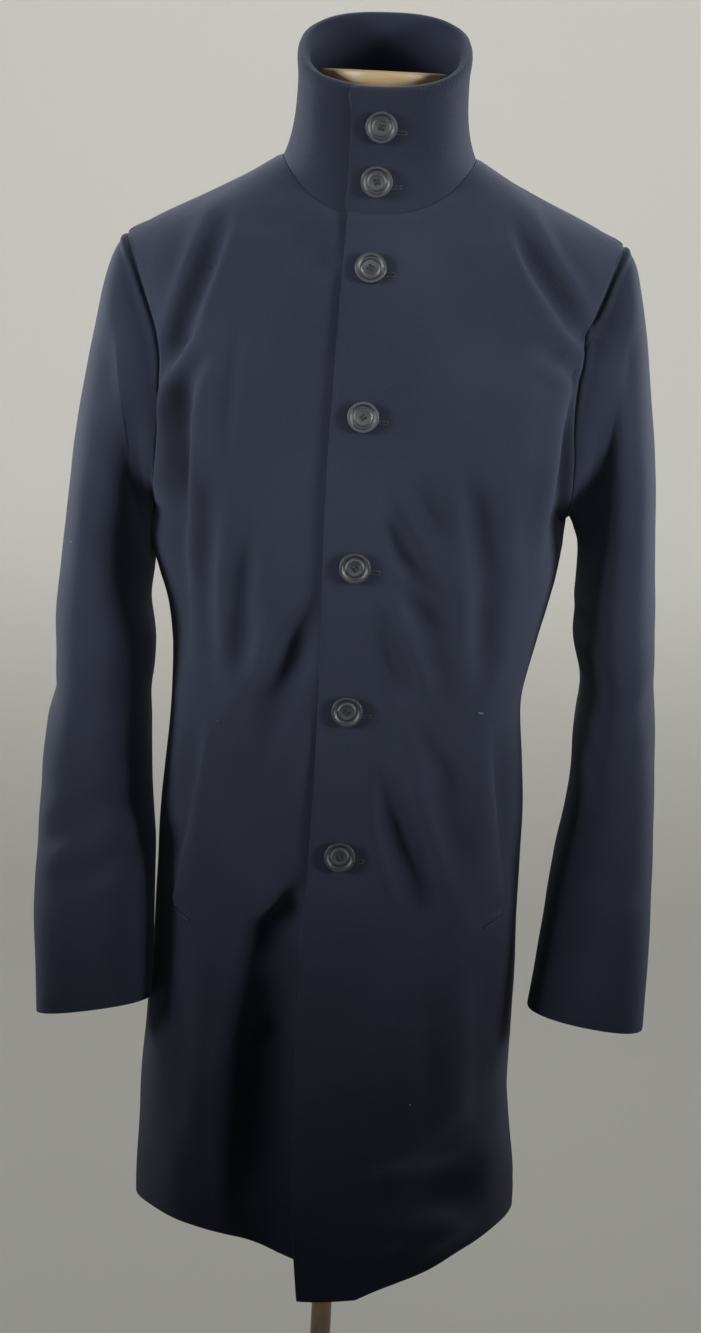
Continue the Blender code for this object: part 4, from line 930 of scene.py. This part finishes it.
rightSleeveRings = makeTable(
    sleeveColumns,
    (0, 0.2050, 1.3780, 0.1725, 1.1503, 0.061, 0.000, 0.000, 2.0),
    (1, 0.2110, 1.3710, 0.1733, 1.1515, 0.064, 0.000, 0.000, 2.0),
    (2, 0.2165, 1.3590, 0.1736, 1.1460, 0.067, 0.001, 0.000, 2.0),
    (3, 0.2225, 1.3370, 0.1738, 1.1380, 0.070, 0.002, 0.000, 2.1),
    (4, 0.2290, 1.3030, 0.1738, 1.1290, 0.073, 0.008, 0.000, 2.1),
    (5, 0.2370, 1.2550, 0.1737, 1.1170, 0.076, 0.014, 0.000, 2.1),
    (6, 0.2450, 1.2000, 0.1734, 1.1000, 0.078, 0.018, 0.000, 2.1),
    (7, 0.2500, 1.1350, 0.1762, 1.0700, 0.079, 0.014, 0.000, 2.1),
    (8, 0.2545, 1.0600, 0.1703, 1.0300, 0.078, 0.006, 0.000, 2.1),
    (9, 0.2585, 0.9850, 0.1725, 0.9830, 0.076, 0.002, 0.000, 2.2),
    (10, 0.2610, 0.9200, 0.1684, 0.9220, 0.071, -0.014, 0.002, 2.2),
    (11, 0.2620, 0.8520, 0.1602, 0.8570, 0.065, -0.040, 0.005, 2.2),
    (12, 0.2600, 0.7870, 0.1586, 0.7950, 0.058, -0.054, 0.008, 2.3),
    (13, 0.2560, 0.7230, 0.1585, 0.7390, 0.050, -0.062, 0.010, 2.3),
)
sleeveMake = {
    "rings": 176,
    "evenShare": 0.8,
    "crowding": 1.5,
    "setInEnd": 3.0,
    "creaseStart": 1.0,
    "creaseFade": 2.0,
    "headRoll": 0.0022,  # soft swell of the sleeve head beside its seam
    "headRollAt": 0.45,
    "headRollWidth": 0.35,
    "headStart": 0.12,  # the swell begins beyond this much of a station
    "headRound": 0.4,  # how far round the sleeve it goes
}
# creases: place along the sleeve, degrees round it (0 outside, 90 front), slant, sizes, depth
sleeveCreaseColumns = "station angle slant halfStation halfAngle depth"
leftSleeveCreases = makeTable(
    sleeveCreaseColumns,
    (3.2, 122.0, 0.0, 2.4, 40.0, -0.0085),
    (6.5, 150.0, 0.0, 2.2, 30.0, -0.0050),
    (3.5, 60.0, 20.0, 1.6, 22.0, -0.0050),
    (8.6, 150.0, -30.0, 0.5, 50.0, -0.0060),
    (10.4, 95.0, 25.0, 0.5, 45.0, -0.0040),
    (7.6, 160.0, -40.0, 0.22, 34.0, -0.0030),
    (9.3, 140.0, -60.0, 0.20, 40.0, -0.0030),
    (9.0, 60.0, 50.0, 0.24, 36.0, -0.0022),
    (11.2, 70.0, -40.0, 0.22, 40.0, -0.0022),
    (8.8, 250.0, 40.0, 0.24, 50.0, -0.0036),
    (9.6, 270.0, -40.0, 0.24, 46.0, -0.0032),
    (5.2, 312.0, 0.0, 1.8, 22.0, -0.0042),
    (8.0, 322.0, 180.0, 0.34, 36.0, -0.0052),
    (9.0, 316.0, -170.0, 0.30, 34.0, -0.0050),
    (10.0, 324.0, 150.0, 0.30, 34.0, -0.0040),
    (11.7, 318.0, -140.0, 0.34, 36.0, -0.0030),
)
rightSleeveCreases = makeTable(
    sleeveCreaseColumns,
    (3.2, 125.0, 0.0, 2.4, 40.0, -0.0085),
    (3.5, 60.0, 20.0, 1.6, 22.0, -0.0050),
    (8.8, 20.0, 25.0, 0.5, 50.0, -0.0042),
    (10.8, 80.0, -25.0, 0.5, 45.0, -0.0050),
    (8.9, 8.0, 30.0, 0.16, 26.0, -0.0020),
    (10.5, 62.0, -70.0, 0.18, 34.0, -0.0056),
    (11.0, 96.0, -60.0, 0.18, 34.0, -0.0050),
    (10.1, 120.0, 50.0, 0.20, 34.0, -0.0024),
    (9.0, 250.0, 40.0, 0.24, 50.0, -0.0036),
    (9.8, 280.0, -40.0, 0.24, 46.0, -0.0032),
    (5.6, 314.0, 0.0, 1.9, 22.0, -0.0044),
    (8.3, 318.0, -160.0, 0.32, 34.0, -0.0048),
    (9.2, 322.0, 190.0, 0.32, 36.0, -0.0054),
    (10.3, 316.0, -150.0, 0.28, 34.0, -0.0038),
    (11.9, 322.0, 140.0, 0.36, 36.0, -0.0030),
)


def edgeRun(name, places):
    grid = clothGrids[name]
    return [np.array([grid[kind][r, c] for r, c in places]) for kind in ("outer", "inner", "normal")]


def joinRuns(parts):
    merged = parts[0]
    for part in parts[1:]:
        shared = [0.5 * (a[-1:] + b[:1]) for a, b in zip(merged, part)]
        merged = [np.concatenate([a[:-1], s, b[1:]]) for a, s, b in zip(merged, shared, part)]
    return merged


def armholeLoop(side):  # from the shoulder tip, down the front to the armpit and up the back
    backColumn = 0 if side > 0 else coat["backColumns"]
    upper = range(coat["lowerRows"], coat["lowerRows"] + coat["upperRows"] + 1)
    frontName = "front_left" if side > 0 else "front_right"
    front = edgeRun(frontName, [(row, coat["frontColumns"]) for row in reversed(upper)])
    back = edgeRun("back", [(row, backColumn) for row in upper])
    joined = joinRuns([front, back])
    shared = [0.5 * (part[:1] + part[-1:]) for part in joined]
    outer, inner, normal = [np.concatenate([s, p[1:-1]]) for s, p in zip(shared, joined)]
    tangent = np.roll(outer, -1, axis=0) - np.roll(outer, 1, axis=0)
    away = side * unitOf(np.cross(normal, tangent))
    return outer + coat["setInGap"] * away, inner + coat["setInGap"] * away


def sleevePoint(rings, side, station, angle):
    outer = np.stack([curveAt(rings, "outerX", station), curveAt(rings, "outerZ", station)], axis=-1)
    inner = np.stack([curveAt(rings, "innerX", station), curveAt(rings, "innerZ", station)], axis=-1)
    power = 2 / curveAt(rings, "power", station)
    across = np.sign(np.cos(angle)) * np.abs(np.cos(angle)) ** power
    ahead = np.sign(np.sin(angle)) * np.abs(np.sin(angle)) ** power
    flat = 0.5 * (outer + inner) + 0.5 * across[..., None] * (outer - inner)
    y = curveAt(rings, "centreY", station) - curveAt(rings, "halfDepth", station) * ahead
    z = flat[..., 1] + curveAt(rings, "frontRise", station) * ahead
    return np.stack([side * flat[..., 0], y, z], axis=-1)


def buildSleeve(name, side, rings, creases):
    loopOuter, loopInner = armholeLoop(side)
    count = 2 * coat["upperRows"]
    share = np.arange(sleeveMake["rings"] + 1) / sleeveMake["rings"]
    last = rings["station"][-1]
    crowded = (1 - sleeveMake["evenShare"]) * share ** sleeveMake["crowding"]
    stations = last * (sleeveMake["evenShare"] * share + crowded)
    station, angle = np.meshgrid(stations, math.tau * np.arange(count) / count, indexing="ij")
    plain = sleevePoint(rings, side, station, angle)
    normal = gridNormals(plain, True)[0]
    total = np.zeros(station.shape)
    for place, middle, slant, halfStation, halfAngle, depth in zip(*creases.values()):
        roundBy = (np.degrees(angle) - middle + 180.0) % 360.0 - 180.0
        alongBy = (station - place - slant / 360.0 * roundBy / halfAngle) / halfStation
        total = total + depth * creaseSection(np.abs(alongBy)) * bell(roundBy / halfAngle)
    calm = easeStep((station - sleeveMake["creaseStart"]) / sleeveMake["creaseFade"])
    head = sleeveMake["headRoll"] * bell((station - sleeveMake["headRollAt"]) / sleeveMake["headRollWidth"])
    head = head * (1 - bell(station / sleeveMake["headStart"]))
    head = head * np.clip(np.cos(angle) + sleeveMake["headRound"], 0.0, 1.0)
    out = calm * (total + clothRipple(plain)) + head
    outer = plain + out[..., None] * normal
    inner = outer - coat["cloth"] * normal
    fade = (1 - easeStep(stations / sleeveMake["setInEnd"]))[:, None, None]
    outer = outer + fade * (loopOuter - outer[0])
    inner = inner + fade * (loopInner - inner[0])
    hangCloth(name, outer, inner, "t", closed=True)


buildSleeve("sleeve_left", 1, leftSleeveRings, leftSleeveCreases)
buildSleeve("sleeve_right", -1, rightSleeveRings, rightSleeveCreases)
print("sleeves set in")


# standing collar with a thick rolled top edge and lapping ends
collarMake = {
    "cloth": 0.0035,
    "halfWidth": 0.0695,
    "front": 0.0870,
    "back": 0.0780,
    "square": 2.5,  # above 2 the opening is squarer than an ellipse
    "topFront": 1.4965,
    "topSlope": 0.362,
    "underDrop": 0.004,
    "ease": 4.0,
    "lapShare": 0.20,
    "lapFade": 0.15,
    "underShare": 0.16,
    "rows": 34,
    "roll": 0.0042,
    "rollWidth": 0.0100,
    "facing": 0.0011,  # step where the inner facing ends
    "facingDepth": 0.015,
    "facingStep": 0.002,
    "innerBlend": 4.0,  # the inner face leaves its seam in a quarter of the height
    "waveBlend": 5.0,
    "waveFall": 0.6,
    "waveShare": 0.5,
    "rollOut": 0.35,
}


def buildCollar():
    top = coat["lowerRows"] + coat["upperRows"]
    neck = range(coat["frontColumns"] - coat["backSeamColumns"] + 1)
    right = edgeRun("front_right", [(top, column) for column in neck])
    columns = range(coat["backSeamColumns"], coat["backColumns"] - coat["backSeamColumns"] + 1)
    back = edgeRun("back", [(top, column) for column in reversed(columns)])
    left = edgeRun("front_left", [(top, column) for column in reversed(neck)])
    baseOuter, baseInner, normal = joinRuns([right, back, left])
    away = unitOf(np.cross(np.gradient(baseOuter, axis=0), normal))
    baseOuter = baseOuter + coat["setInGap"] * away
    baseInner = baseInner + coat["setInGap"] * away
    share = np.linspace(0.0, 1.0, len(baseOuter))
    turn = np.arctan2(-baseOuter[:, 1], baseOuter[:, 0])
    across, ahead = np.cos(turn), np.sin(turn)
    depth = np.where(ahead > 0, collarMake["front"], collarMake["back"])
    square = collarMake["square"]
    wide, deep = np.abs(across) / collarMake["halfWidth"], np.abs(ahead) / depth
    reach = (wide**square + deep**square) ** (-1 / square)
    over = easeStep((share - 1 + collarMake["lapShare"]) / collarMake["lapFade"])
    under = easeStep((collarMake["lapShare"] - share) / collarMake["lapFade"])
    lap = 0.5 * (collarMake["cloth"] + coat["lapGap"]) * (over - under)
    rim = np.stack([(reach + lap) * across, -(reach + lap) * ahead, 0.0 * reach], axis=-1)
    outX = np.sign(across) * wide ** (square - 1) / collarMake["halfWidth"]
    outY = -np.sign(ahead) * deep ** (square - 1) / depth
    outward = unitOf(np.stack([outX, outY, 0.0 * reach], axis=-1))
    rim[:, 2] = collarMake["topFront"] + collarMake["topSlope"] * (rim[:, 1] + collarMake["front"])
    underEnd = collarMake["underShare"]
    rim[:, 2] -= collarMake["underDrop"] * easeStep((underEnd - share) / underEnd)
    outer, inner = [], []
    for row in range(collarMake["rows"] + 1):
        rise = row / collarMake["rows"]
        pull = 1 - (1 - rise) ** collarMake["ease"]
        out = blend(baseOuter, rim, np.array([pull, pull, 0.0]))
        out[:, 2] = blend(baseOuter[:, 2], rim[:, 2], rise)
        fromTop = rim[:, 2] - out[:, 2]
        roll = collarMake["roll"] * bell(fromTop / collarMake["rollWidth"])[:, None]
        belowFacing = (collarMake["facingDepth"] - fromTop) / collarMake["facingStep"]
        faced = collarMake["facing"] * easeStep(belowFacing)[:, None]
        thin = out - (collarMake["cloth"] + roll + faced) * outward
        turned = float(easeStep(rise * collarMake["innerBlend"]))
        inner.append(baseInner * (1 - turned) + thin * turned)
        waved = float(easeStep(rise * collarMake["waveBlend"]))
        wave = clothRipple(out)[:, None] * waved * (1 - collarMake["waveFall"] * rise)
        outer.append(out + (collarMake["rollOut"] * roll + collarMake["waveShare"] * wave) * outward)
    outer, inner = np.array(outer), np.array(inner)
    clothGrids["collar"] = {"outer": outer, "normal": np.array([outward] * len(outer))}
    hangCloth("collar", outer, inner, "tlr")


buildCollar()
print("collar standing")


# slanted pocket welts
weltMake = {
    "flush": -0.0004,  # height of the face at its seam and its ends, tucked under the panel's face
    "lift": 0.0048,  # height of the face at the free edge
    "thickness": 0.0018,
    "width": 0.030,
    "rows": 44,
    "columns": 12,
    "seek": 8,
    "startRow": 0.65,  # where on the front's grid the search begins
    "startColumn": 0.55,
    "topFade": 0.06,
    "lowFade": 0.05,
    "seamThin": 0.25,
}
weltLines = {
    "pocket_welt_left": ("front_left", (0.1080, 1.000), (0.1330, 0.822)),
    "pocket_welt_right": ("front_right", (-0.1120, 0.988), (-0.1400, 0.822)),
}


def gridValue(points, row, column):
    i = int(np.clip(math.floor(row), 0, points.shape[0] - 2))
    j = int(np.clip(math.floor(column), 0, points.shape[1] - 2))
    u, v = row - i, column - j
    low = points[i, j] * (1 - v) + points[i, j + 1] * v
    high = points[i + 1, j] * (1 - v) + points[i + 1, j + 1] * v
    return low * (1 - u) + high * u


def seekOnGrid(points, x, z, start):
    row, column = start
    for _ in range(weltMake["seek"]):
        here = gridValue(points, row, column)
        byRow = (gridValue(points, row + 1, column) - gridValue(points, row - 1, column))[[0, 2]] / 2
        byColumn = (gridValue(points, row, column + 1) - gridValue(points, row, column - 1))[[0, 2]] / 2
        step = np.linalg.solve(np.stack([byRow, byColumn], axis=1), np.array([x, z]) - here[[0, 2]])
        row = float(np.clip(row + step[0], 1.0, points.shape[0] - 2.0))
        column = float(np.clip(column + step[1], 1.0, points.shape[1] - 2.0))
    return row, column


def weltStart():
    return coat["lowerRows"] * weltMake["startRow"], coat["frontColumns"] * weltMake["startColumn"]


def buildWelt(name):
    panel, (topX, topZ), (lowX, lowZ) = weltLines[name]
    side = 1 if topX > 0 else -1
    carrier, facing = clothGrids[panel]["outer"], clothGrids[panel]["normal"]
    outer, inner = [], []
    start = weltStart()
    for i in range(weltMake["rows"] + 1):
        down = i / weltMake["rows"]
        seat, face = [], []
        for j in range(weltMake["columns"] + 1):
            over = j / weltMake["columns"]
            x = blend(topX, lowX, down) - side * weltMake["width"] * (1 - over)
            start = seekOnGrid(carrier, x, blend(topZ, lowZ, down), start)
            ground, normal = gridValue(carrier, *start), unitOf(gridValue(facing, *start))
            ends = float(easeStep(down / weltMake["topFade"]) * easeStep((1 - down) / weltMake["lowFade"]))
            height = weltMake["flush"] + weltMake["lift"] * over**2 * ends
            thick = min(1.0, weltMake["seamThin"] + (1 - weltMake["seamThin"]) * over)
            seat.append(ground + (height - weltMake["thickness"] * thick) * normal)
            face.append(ground + height * normal)
        start = seekOnGrid(carrier, x - side * weltMake["width"], blend(topZ, lowZ, down), start)
        inner.append(seat)
        outer.append(face)
    hangCloth(name, np.array(outer), np.array(inner), "btlr")


for weltName in weltLines:
    buildWelt(weltName)
print("welts laid on")


# stitched buttonholes in the left front and the collar, and sewn bars at the welts' ends
stitchMake = {
    "holeFrom": -0.004,  # from the button's middle, towards the coat's left side
    "holeTo": 0.0195,
    "holeDrop": 0.0040,
    "holeHalf": 0.0011,
    "holeFull": 1.6,  # above 1 the loop has straight sides
    "holeLift": 0.0002,
    "holeSteps": 64,
    "threadRadius": 0.0006,
    "threadSides": 7,
    "threadTwist": 0.30,
    "collarFrom": 0.0125,  # buttons this far above the front neck are on the collar
    "lapColumn": 6.0,  # where on a grid the search for a buttonhole begins
    "collarRow": 0.5,
    "collarColumn": 8.0,
    "barLength": 0.013,
    "barInset": 0.001,
    "barStart": 0.3,
    "barLift": 0.0008,
    "barRadius": 0.0007,
    "barSteps": 18,
    "barEnds": {"low": (1.0, 0.0055), "top": (0.35, -0.0015)},  # share of the length, slant
}
buttonPlaces = (  # number, x and height of each button's middle
    (1, 0.0000, 1.469),
    (2, -0.0015, 1.427),
    (3, -0.0030, 1.360),
    (4, -0.0030, 1.246),
    (5, -0.0035, 1.127),
    (6, -0.0040, 1.008),
    (7, -0.0040, 0.887),
)


def onCloth(name, x, z, start):
    grid = clothGrids[name]
    place = seekOnGrid(grid["outer"], x, z, start)
    return gridValue(grid["outer"], *place), unitOf(gridValue(grid["normal"], *place)), place


def threadRope(name, path, normals, radius, finish, closed):
    path, normals = leanOver(path), np.array(normals)
    count, sides = len(path), stitchMake["threadSides"]
    ahead = np.roll(path, -1, axis=0) - np.roll(path, 1, axis=0) if closed else np.gradient(path, axis=0)
    aside = unitOf(np.cross(unitOf(ahead), normals))
    points, faces = [], []
    for i in range(count):
        thick = radius * (1.0 + (stitchMake["threadTwist"] if i % 2 else 0.0))
        for j in range(sides):
            turn = math.tau * j / sides
            points.append(path[i] + thick * (math.cos(turn) * aside[i] + math.sin(turn) * normals[i]))
    for i in range(count if closed else count - 1):
        k = (i + 1) % count
        for j in range(sides):
            m = (j + 1) % sides
            faces.append((i * sides + j, i * sides + m, k * sides + m, k * sides + j))
    if not closed:
        faces.append(tuple(reversed(range(sides))))
        faces.append(tuple((count - 1) * sides + j for j in range(sides)))
    mesh = bpy.data.meshes.new(name)
    mesh.from_pydata(points, [], faces)
    mesh.shade_smooth()
    mesh.materials.append(finishes[finish])
    made = addPiece(name, mesh)
    pickOnly(made)
    editWhole(lambda: bpy.ops.mesh.normals_make_consistent(inside=False))
    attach(made, "root")


def sewAlong(name, panel, places, start, lift, radius, finish, closed):
    path, normals = [], []
    for x, z in places:
        ground, normal, start = onCloth(panel, x, z, start)
        path.append(ground + lift * normal)
        normals.append(normal)
    threadRope(name, np.array(path), normals, radius, finish, closed)


def sewButtonholes():
    make, half = stitchMake, stitchMake["holeHalf"]
    straight = 0.5 * (make["holeTo"] - make["holeFrom"]) - half
    centre = 0.5 * (make["holeTo"] + make["holeFrom"])
    for number, x, z in buttonPlaces:
        panel, start = "front_left", (coat["lowerRows"], make["lapColumn"])
        if z > coat["frontNeck"] + make["collarFrom"]:
            panel = "collar"
            rows, columns = clothGrids[panel]["outer"].shape[:2]
            start = (rows * make["collarRow"], columns - make["collarColumn"])
        places = []
        for step in range(make["holeSteps"]):
            turn = math.tau * step / make["holeSteps"]
            along = max(-1.0, min(1.0, make["holeFull"] * math.cos(turn)))
            rise = half * max(-1.0, min(1.0, make["holeFull"] * math.sin(turn)))
            reach = straight * along + half * math.cos(turn)
            places.append((x + centre + reach, z - make["holeDrop"] + rise))
        name = f"buttonhole_{number}"
        sewAlong(name, panel, places, start, make["holeLift"], make["threadRadius"], "navyThread", True)


def sewWeltBars():
    make = stitchMake
    for panel, top, low in weltLines.values():
        side, sideName = (1, "left") if top[0] > 0 else (-1, "right")
        for end, (x, z) in (("low", low), ("top", top)):
            share, slant = make["barEnds"][end]
            finish = "paleThread" if end == "top" and side > 0 else "navyThread"
            places = []
            for step in range(make["barSteps"] + 1):
                along = step / make["barSteps"]
                drop = slant * (make["barStart"] + along * (1 - make["barStart"]))
                places.append((x - side * (make["barInset"] + make["barLength"] * share * along), z - drop))
            name = f"welt_bar_{end}_{sideName}"
            sewAlong(name, panel, places, weltStart(), make["barLift"], make["barRadius"], finish, False)


sewButtonholes()
sewWeltBars()
print("stitches sewn")


# buttons, modelled once and copied to each solid's place
buttonMake = {
    "radius": 0.0125,
    "height": 0.0045,
    "sides": 48,
    "rings": (  # width of each ring from the rim inwards, and the step up or down inside it
        (0.0024, 0.0),
        (0.0012, -0.0016),
        (0.0013, 0.0),
        (0.0008, 0.0008),
        (0.0012, 0.0),
        (0.0008, -0.0004),
    ),
    "edge": 0.0012,
    "smoothAngle": 38.0,
    "holeRadius": 0.0011,
    "holeFrom": 0.0019,
    "holeSides": 14,
    "drillDepth": 0.02,
    "threadRadius": 0.00075,
    "threadSides": 10,
    "threadLength": 2.2,  # in distances from the middle to a hole
    "threadAside": 0.72,
    "threadLift": 0.0003,
    "threadCuts": 3,
    "threadDip": 0.0016,
    "turnBy": 9.0,  # degrees; each button is turned a little differently
}
softEdge = {"segments": 4, "angle": 40.0}


def applyAll(piece):
    pickOnly(piece)
    for modifier in list(piece.modifiers):
        bpy.ops.object.modifier_apply(modifier=modifier.name)


def pickFaces(piece, test):
    bpy.ops.object.mode_set(mode="OBJECT")
    for polygon in piece.data.polygons:
        polygon.select = bool(test(polygon))
    bpy.ops.object.mode_set(mode="EDIT")


def startCylinder(sides, radius, depth, place, turn=(0, 0, 0)):
    pickOnly()
    size = {"vertices": sides, "radius": radius, "depth": depth}
    bpy.ops.mesh.primitive_cylinder_add(**size, location=place, rotation=turn)
    bpy.ops.object.transform_apply(location=True, rotation=True, scale=True)
    return bpy.context.object


def pickTop(piece):
    bpy.ops.object.mode_set(mode="EDIT")
    bpy.ops.mesh.select_mode(type="FACE")
    pickFaces(piece, lambda face: face.normal.z > 0.9)


def softenEdges(piece, width):
    bevel = piece.modifiers.new("softEdge", "BEVEL")
    bevel.width = width
    bevel.segments = softEdge["segments"]
    bevel.limit_method = "ANGLE"
    bevel.angle_limit = math.radians(softEdge["angle"])
    applyAll(piece)


def modelButton():
    make = buttonMake
    made = startCylinder(make["sides"], make["radius"], make["height"], (0, 0, make["height"] / 2))
    pickTop(made)
    for width, step in make["rings"]:
        bpy.ops.mesh.inset(thickness=width)
        if step:
            bpy.ops.transform.translate(value=(0, 0, step))
    bpy.ops.object.mode_set(mode="OBJECT")
    softenEdges(made, make["edge"])
    for turn in range(4):
        away = math.radians(45 + 90 * turn)
        place = (make["holeFrom"] * math.cos(away), make["holeFrom"] * math.sin(away), 0)
        drill = startCylinder(make["holeSides"], make["holeRadius"], make["drillDepth"], place)
        bore = made.modifiers.new("bore", "BOOLEAN")
        bore.operation = "DIFFERENCE"
        bore.solver = "EXACT"
        bore.object = drill
        applyAll(made)
        bpy.data.objects.remove(drill, do_unlink=True)
    pickOnly(made)
    bpy.ops.object.shade_smooth_by_angle(angle=math.radians(make["smoothAngle"]))
    made.data.materials.clear()
    made.data.materials.append(finishes["hornButton"])
    return made


def modelThread():  # two sewn bars across the holes
    make, bars = buttonMake, []
    top = sum((step for width, step in make["rings"]), make["height"])
    for side in (-1, 1):
        place = (side * make["holeFrom"] * make["threadAside"], 0, top + make["threadLift"])
        length = make["threadLength"] * make["holeFrom"]
        bar = startCylinder(make["threadSides"], make["threadRadius"], length, place, (math.pi / 2, 0, 0))
        editWhole(lambda: bpy.ops.mesh.subdivide(number_cuts=make["threadCuts"]))
        for vertex in bar.data.vertices:  # ends dip into the holes
            vertex.co.z -= make["threadDip"] * min(1.0, abs(vertex.co.y) / make["holeFrom"]) ** 3
        bars.append(bar)
    pickOnly(*reversed(bars))
    bpy.ops.object.join()
    bpy.ops.object.shade_smooth()
    bars[0].data.materials.append(finishes["navyThread"])
    return bars[0]


def placeButtons():
    button, thread = modelButton(), modelThread()
    for number, x, z in buttonPlaces:
        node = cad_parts[f"button_{number}"]
        points = np.array([node.matrix_world @ v.co for v in node.data.vertices])
        points = np.unique(np.round(points, 6), axis=0)
        middle = 0.5 * (points.min(axis=0) + points.max(axis=0))
        axis = np.linalg.svd(points - points.mean(axis=0))[2][2]
        axis = axis * (-np.sign(axis[1]))
        foot = ((points - middle) @ axis).min()
        place = Matrix.Translation(middle + foot * axis)
        place = place @ Vector(axis).to_track_quat("Z", "Y").to_matrix().to_4x4()
        turn = buttonMake["turnBy"] * number * (-1) ** number
        place = place @ Matrix.Rotation(math.radians(turn), 4, "Z")
        for source, name in ((button, "horn_button"), (thread, "button_thread")):
            copy = addPiece(f"{name}_{number}", source.data.copy())
            copy.data.transform(place)
            if name == "horn_button":
                sewIn(copy, f"button_{number}")
            else:
                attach(copy, "root")
    for source in (button, thread):
        bpy.data.objects.remove(source, do_unlink=True)


placeButtons()
print("buttons sewn on")


# dress form: covered torso, wooden neck cap, pole and base
formMake = {
    "clear": 0.006,  # the torso is a little slimmer under the creased cloth
    "clearBelow": 1.47,
    "clearFade": 0.05,
    "drop": 0.004,  # and its shoulders are a little lower
    "dropBelow": 1.46,
    "dropAbove": 1.34,
    "dropFade": 0.03,
    "mergeWithin": 0.00005,
    "smoothAngle": 50.0,
    "sides": 96,
    "turnedSmooth": 40.0,
    "hubRadius": 0.024,
    "hubTop": 0.045,
}
turnedPieces = {  # radius, foot, top, soft edge, finish, node, slot
    "neck_cap": (0.051, 1.4973, 1.5125, 0.0022, "paleWood", "form_neck_cap", "pale_wood"),
    "stand_pole": (0.009, 0.0453, 0.7897, 0.0008, "bronzedSteel", "form_pole", "bronzed_steel"),
    "stand_base": (0.160, 0.0, 0.008, 0.002, "bronzedSteel", "form_base", "bronzed_steel"),
}


def buildTorso():
    make, node = formMake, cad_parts["form_torso"]
    torso = addPiece("covered_torso", node.data.copy())
    torso.data.transform(node.matrix_world)
    pickOnly(torso)
    editWhole(
        lambda: bpy.ops.mesh.remove_doubles(threshold=make["mergeWithin"]),
        lambda: bpy.ops.mesh.tris_convert_to_quads(),
    )
    for vertex in torso.data.vertices:
        point = vertex.co
        reach = math.hypot(point.x, point.y)
        slim = make["clear"] * float(easeStep((make["clearBelow"] - point.z) / make["clearFade"]))
        keep = max(0.0, reach - slim) / max(reach, 1e-6)
        point.x *= keep
        point.y *= keep
        below = easeStep((make["dropBelow"] - point.z) / make["dropFade"])
        above = easeStep((point.z - make["dropAbove"]) / make["dropFade"])
        point.z -= make["drop"] * float(below * above)
    torso.data.materials.clear()
    torso.data.materials.append(finishes["formLinen"])
    rounder = torso.modifiers.new("rounder", "SUBSURF")
    rounder.levels = rounder.render_levels = 1
    applyAll(torso)
    bpy.ops.object.shade_smooth_by_angle(angle=math.radians(make["smoothAngle"]))
    sewIn(torso, "form_torso")


def turnPiece(name, radius, foot, top, edge, finish, node, slot):
    made = startCylinder(formMake["sides"], radius, top - foot, (0, 0, 0.5 * (foot + top)))
    made.name = name
    if name == "stand_base":  # draw the hub up out of the plate
        pickTop(made)
        bpy.ops.mesh.inset(thickness=radius - formMake["hubRadius"])
        rise = (0, 0, formMake["hubTop"] - top)
        bpy.ops.mesh.extrude_region_move(TRANSFORM_OT_translate={"value": rise})
        bpy.ops.object.mode_set(mode="OBJECT")
    softenEdges(made, edge)
    bpy.ops.object.shade_smooth_by_angle(angle=math.radians(formMake["turnedSmooth"]))
    made.data.materials.append(finishes[finish])
    sewIn(made, node)


buildTorso()
for turnedName, turnedShape in turnedPieces.items():
    turnPiece(turnedName, *turnedShape)
print("dress form built")
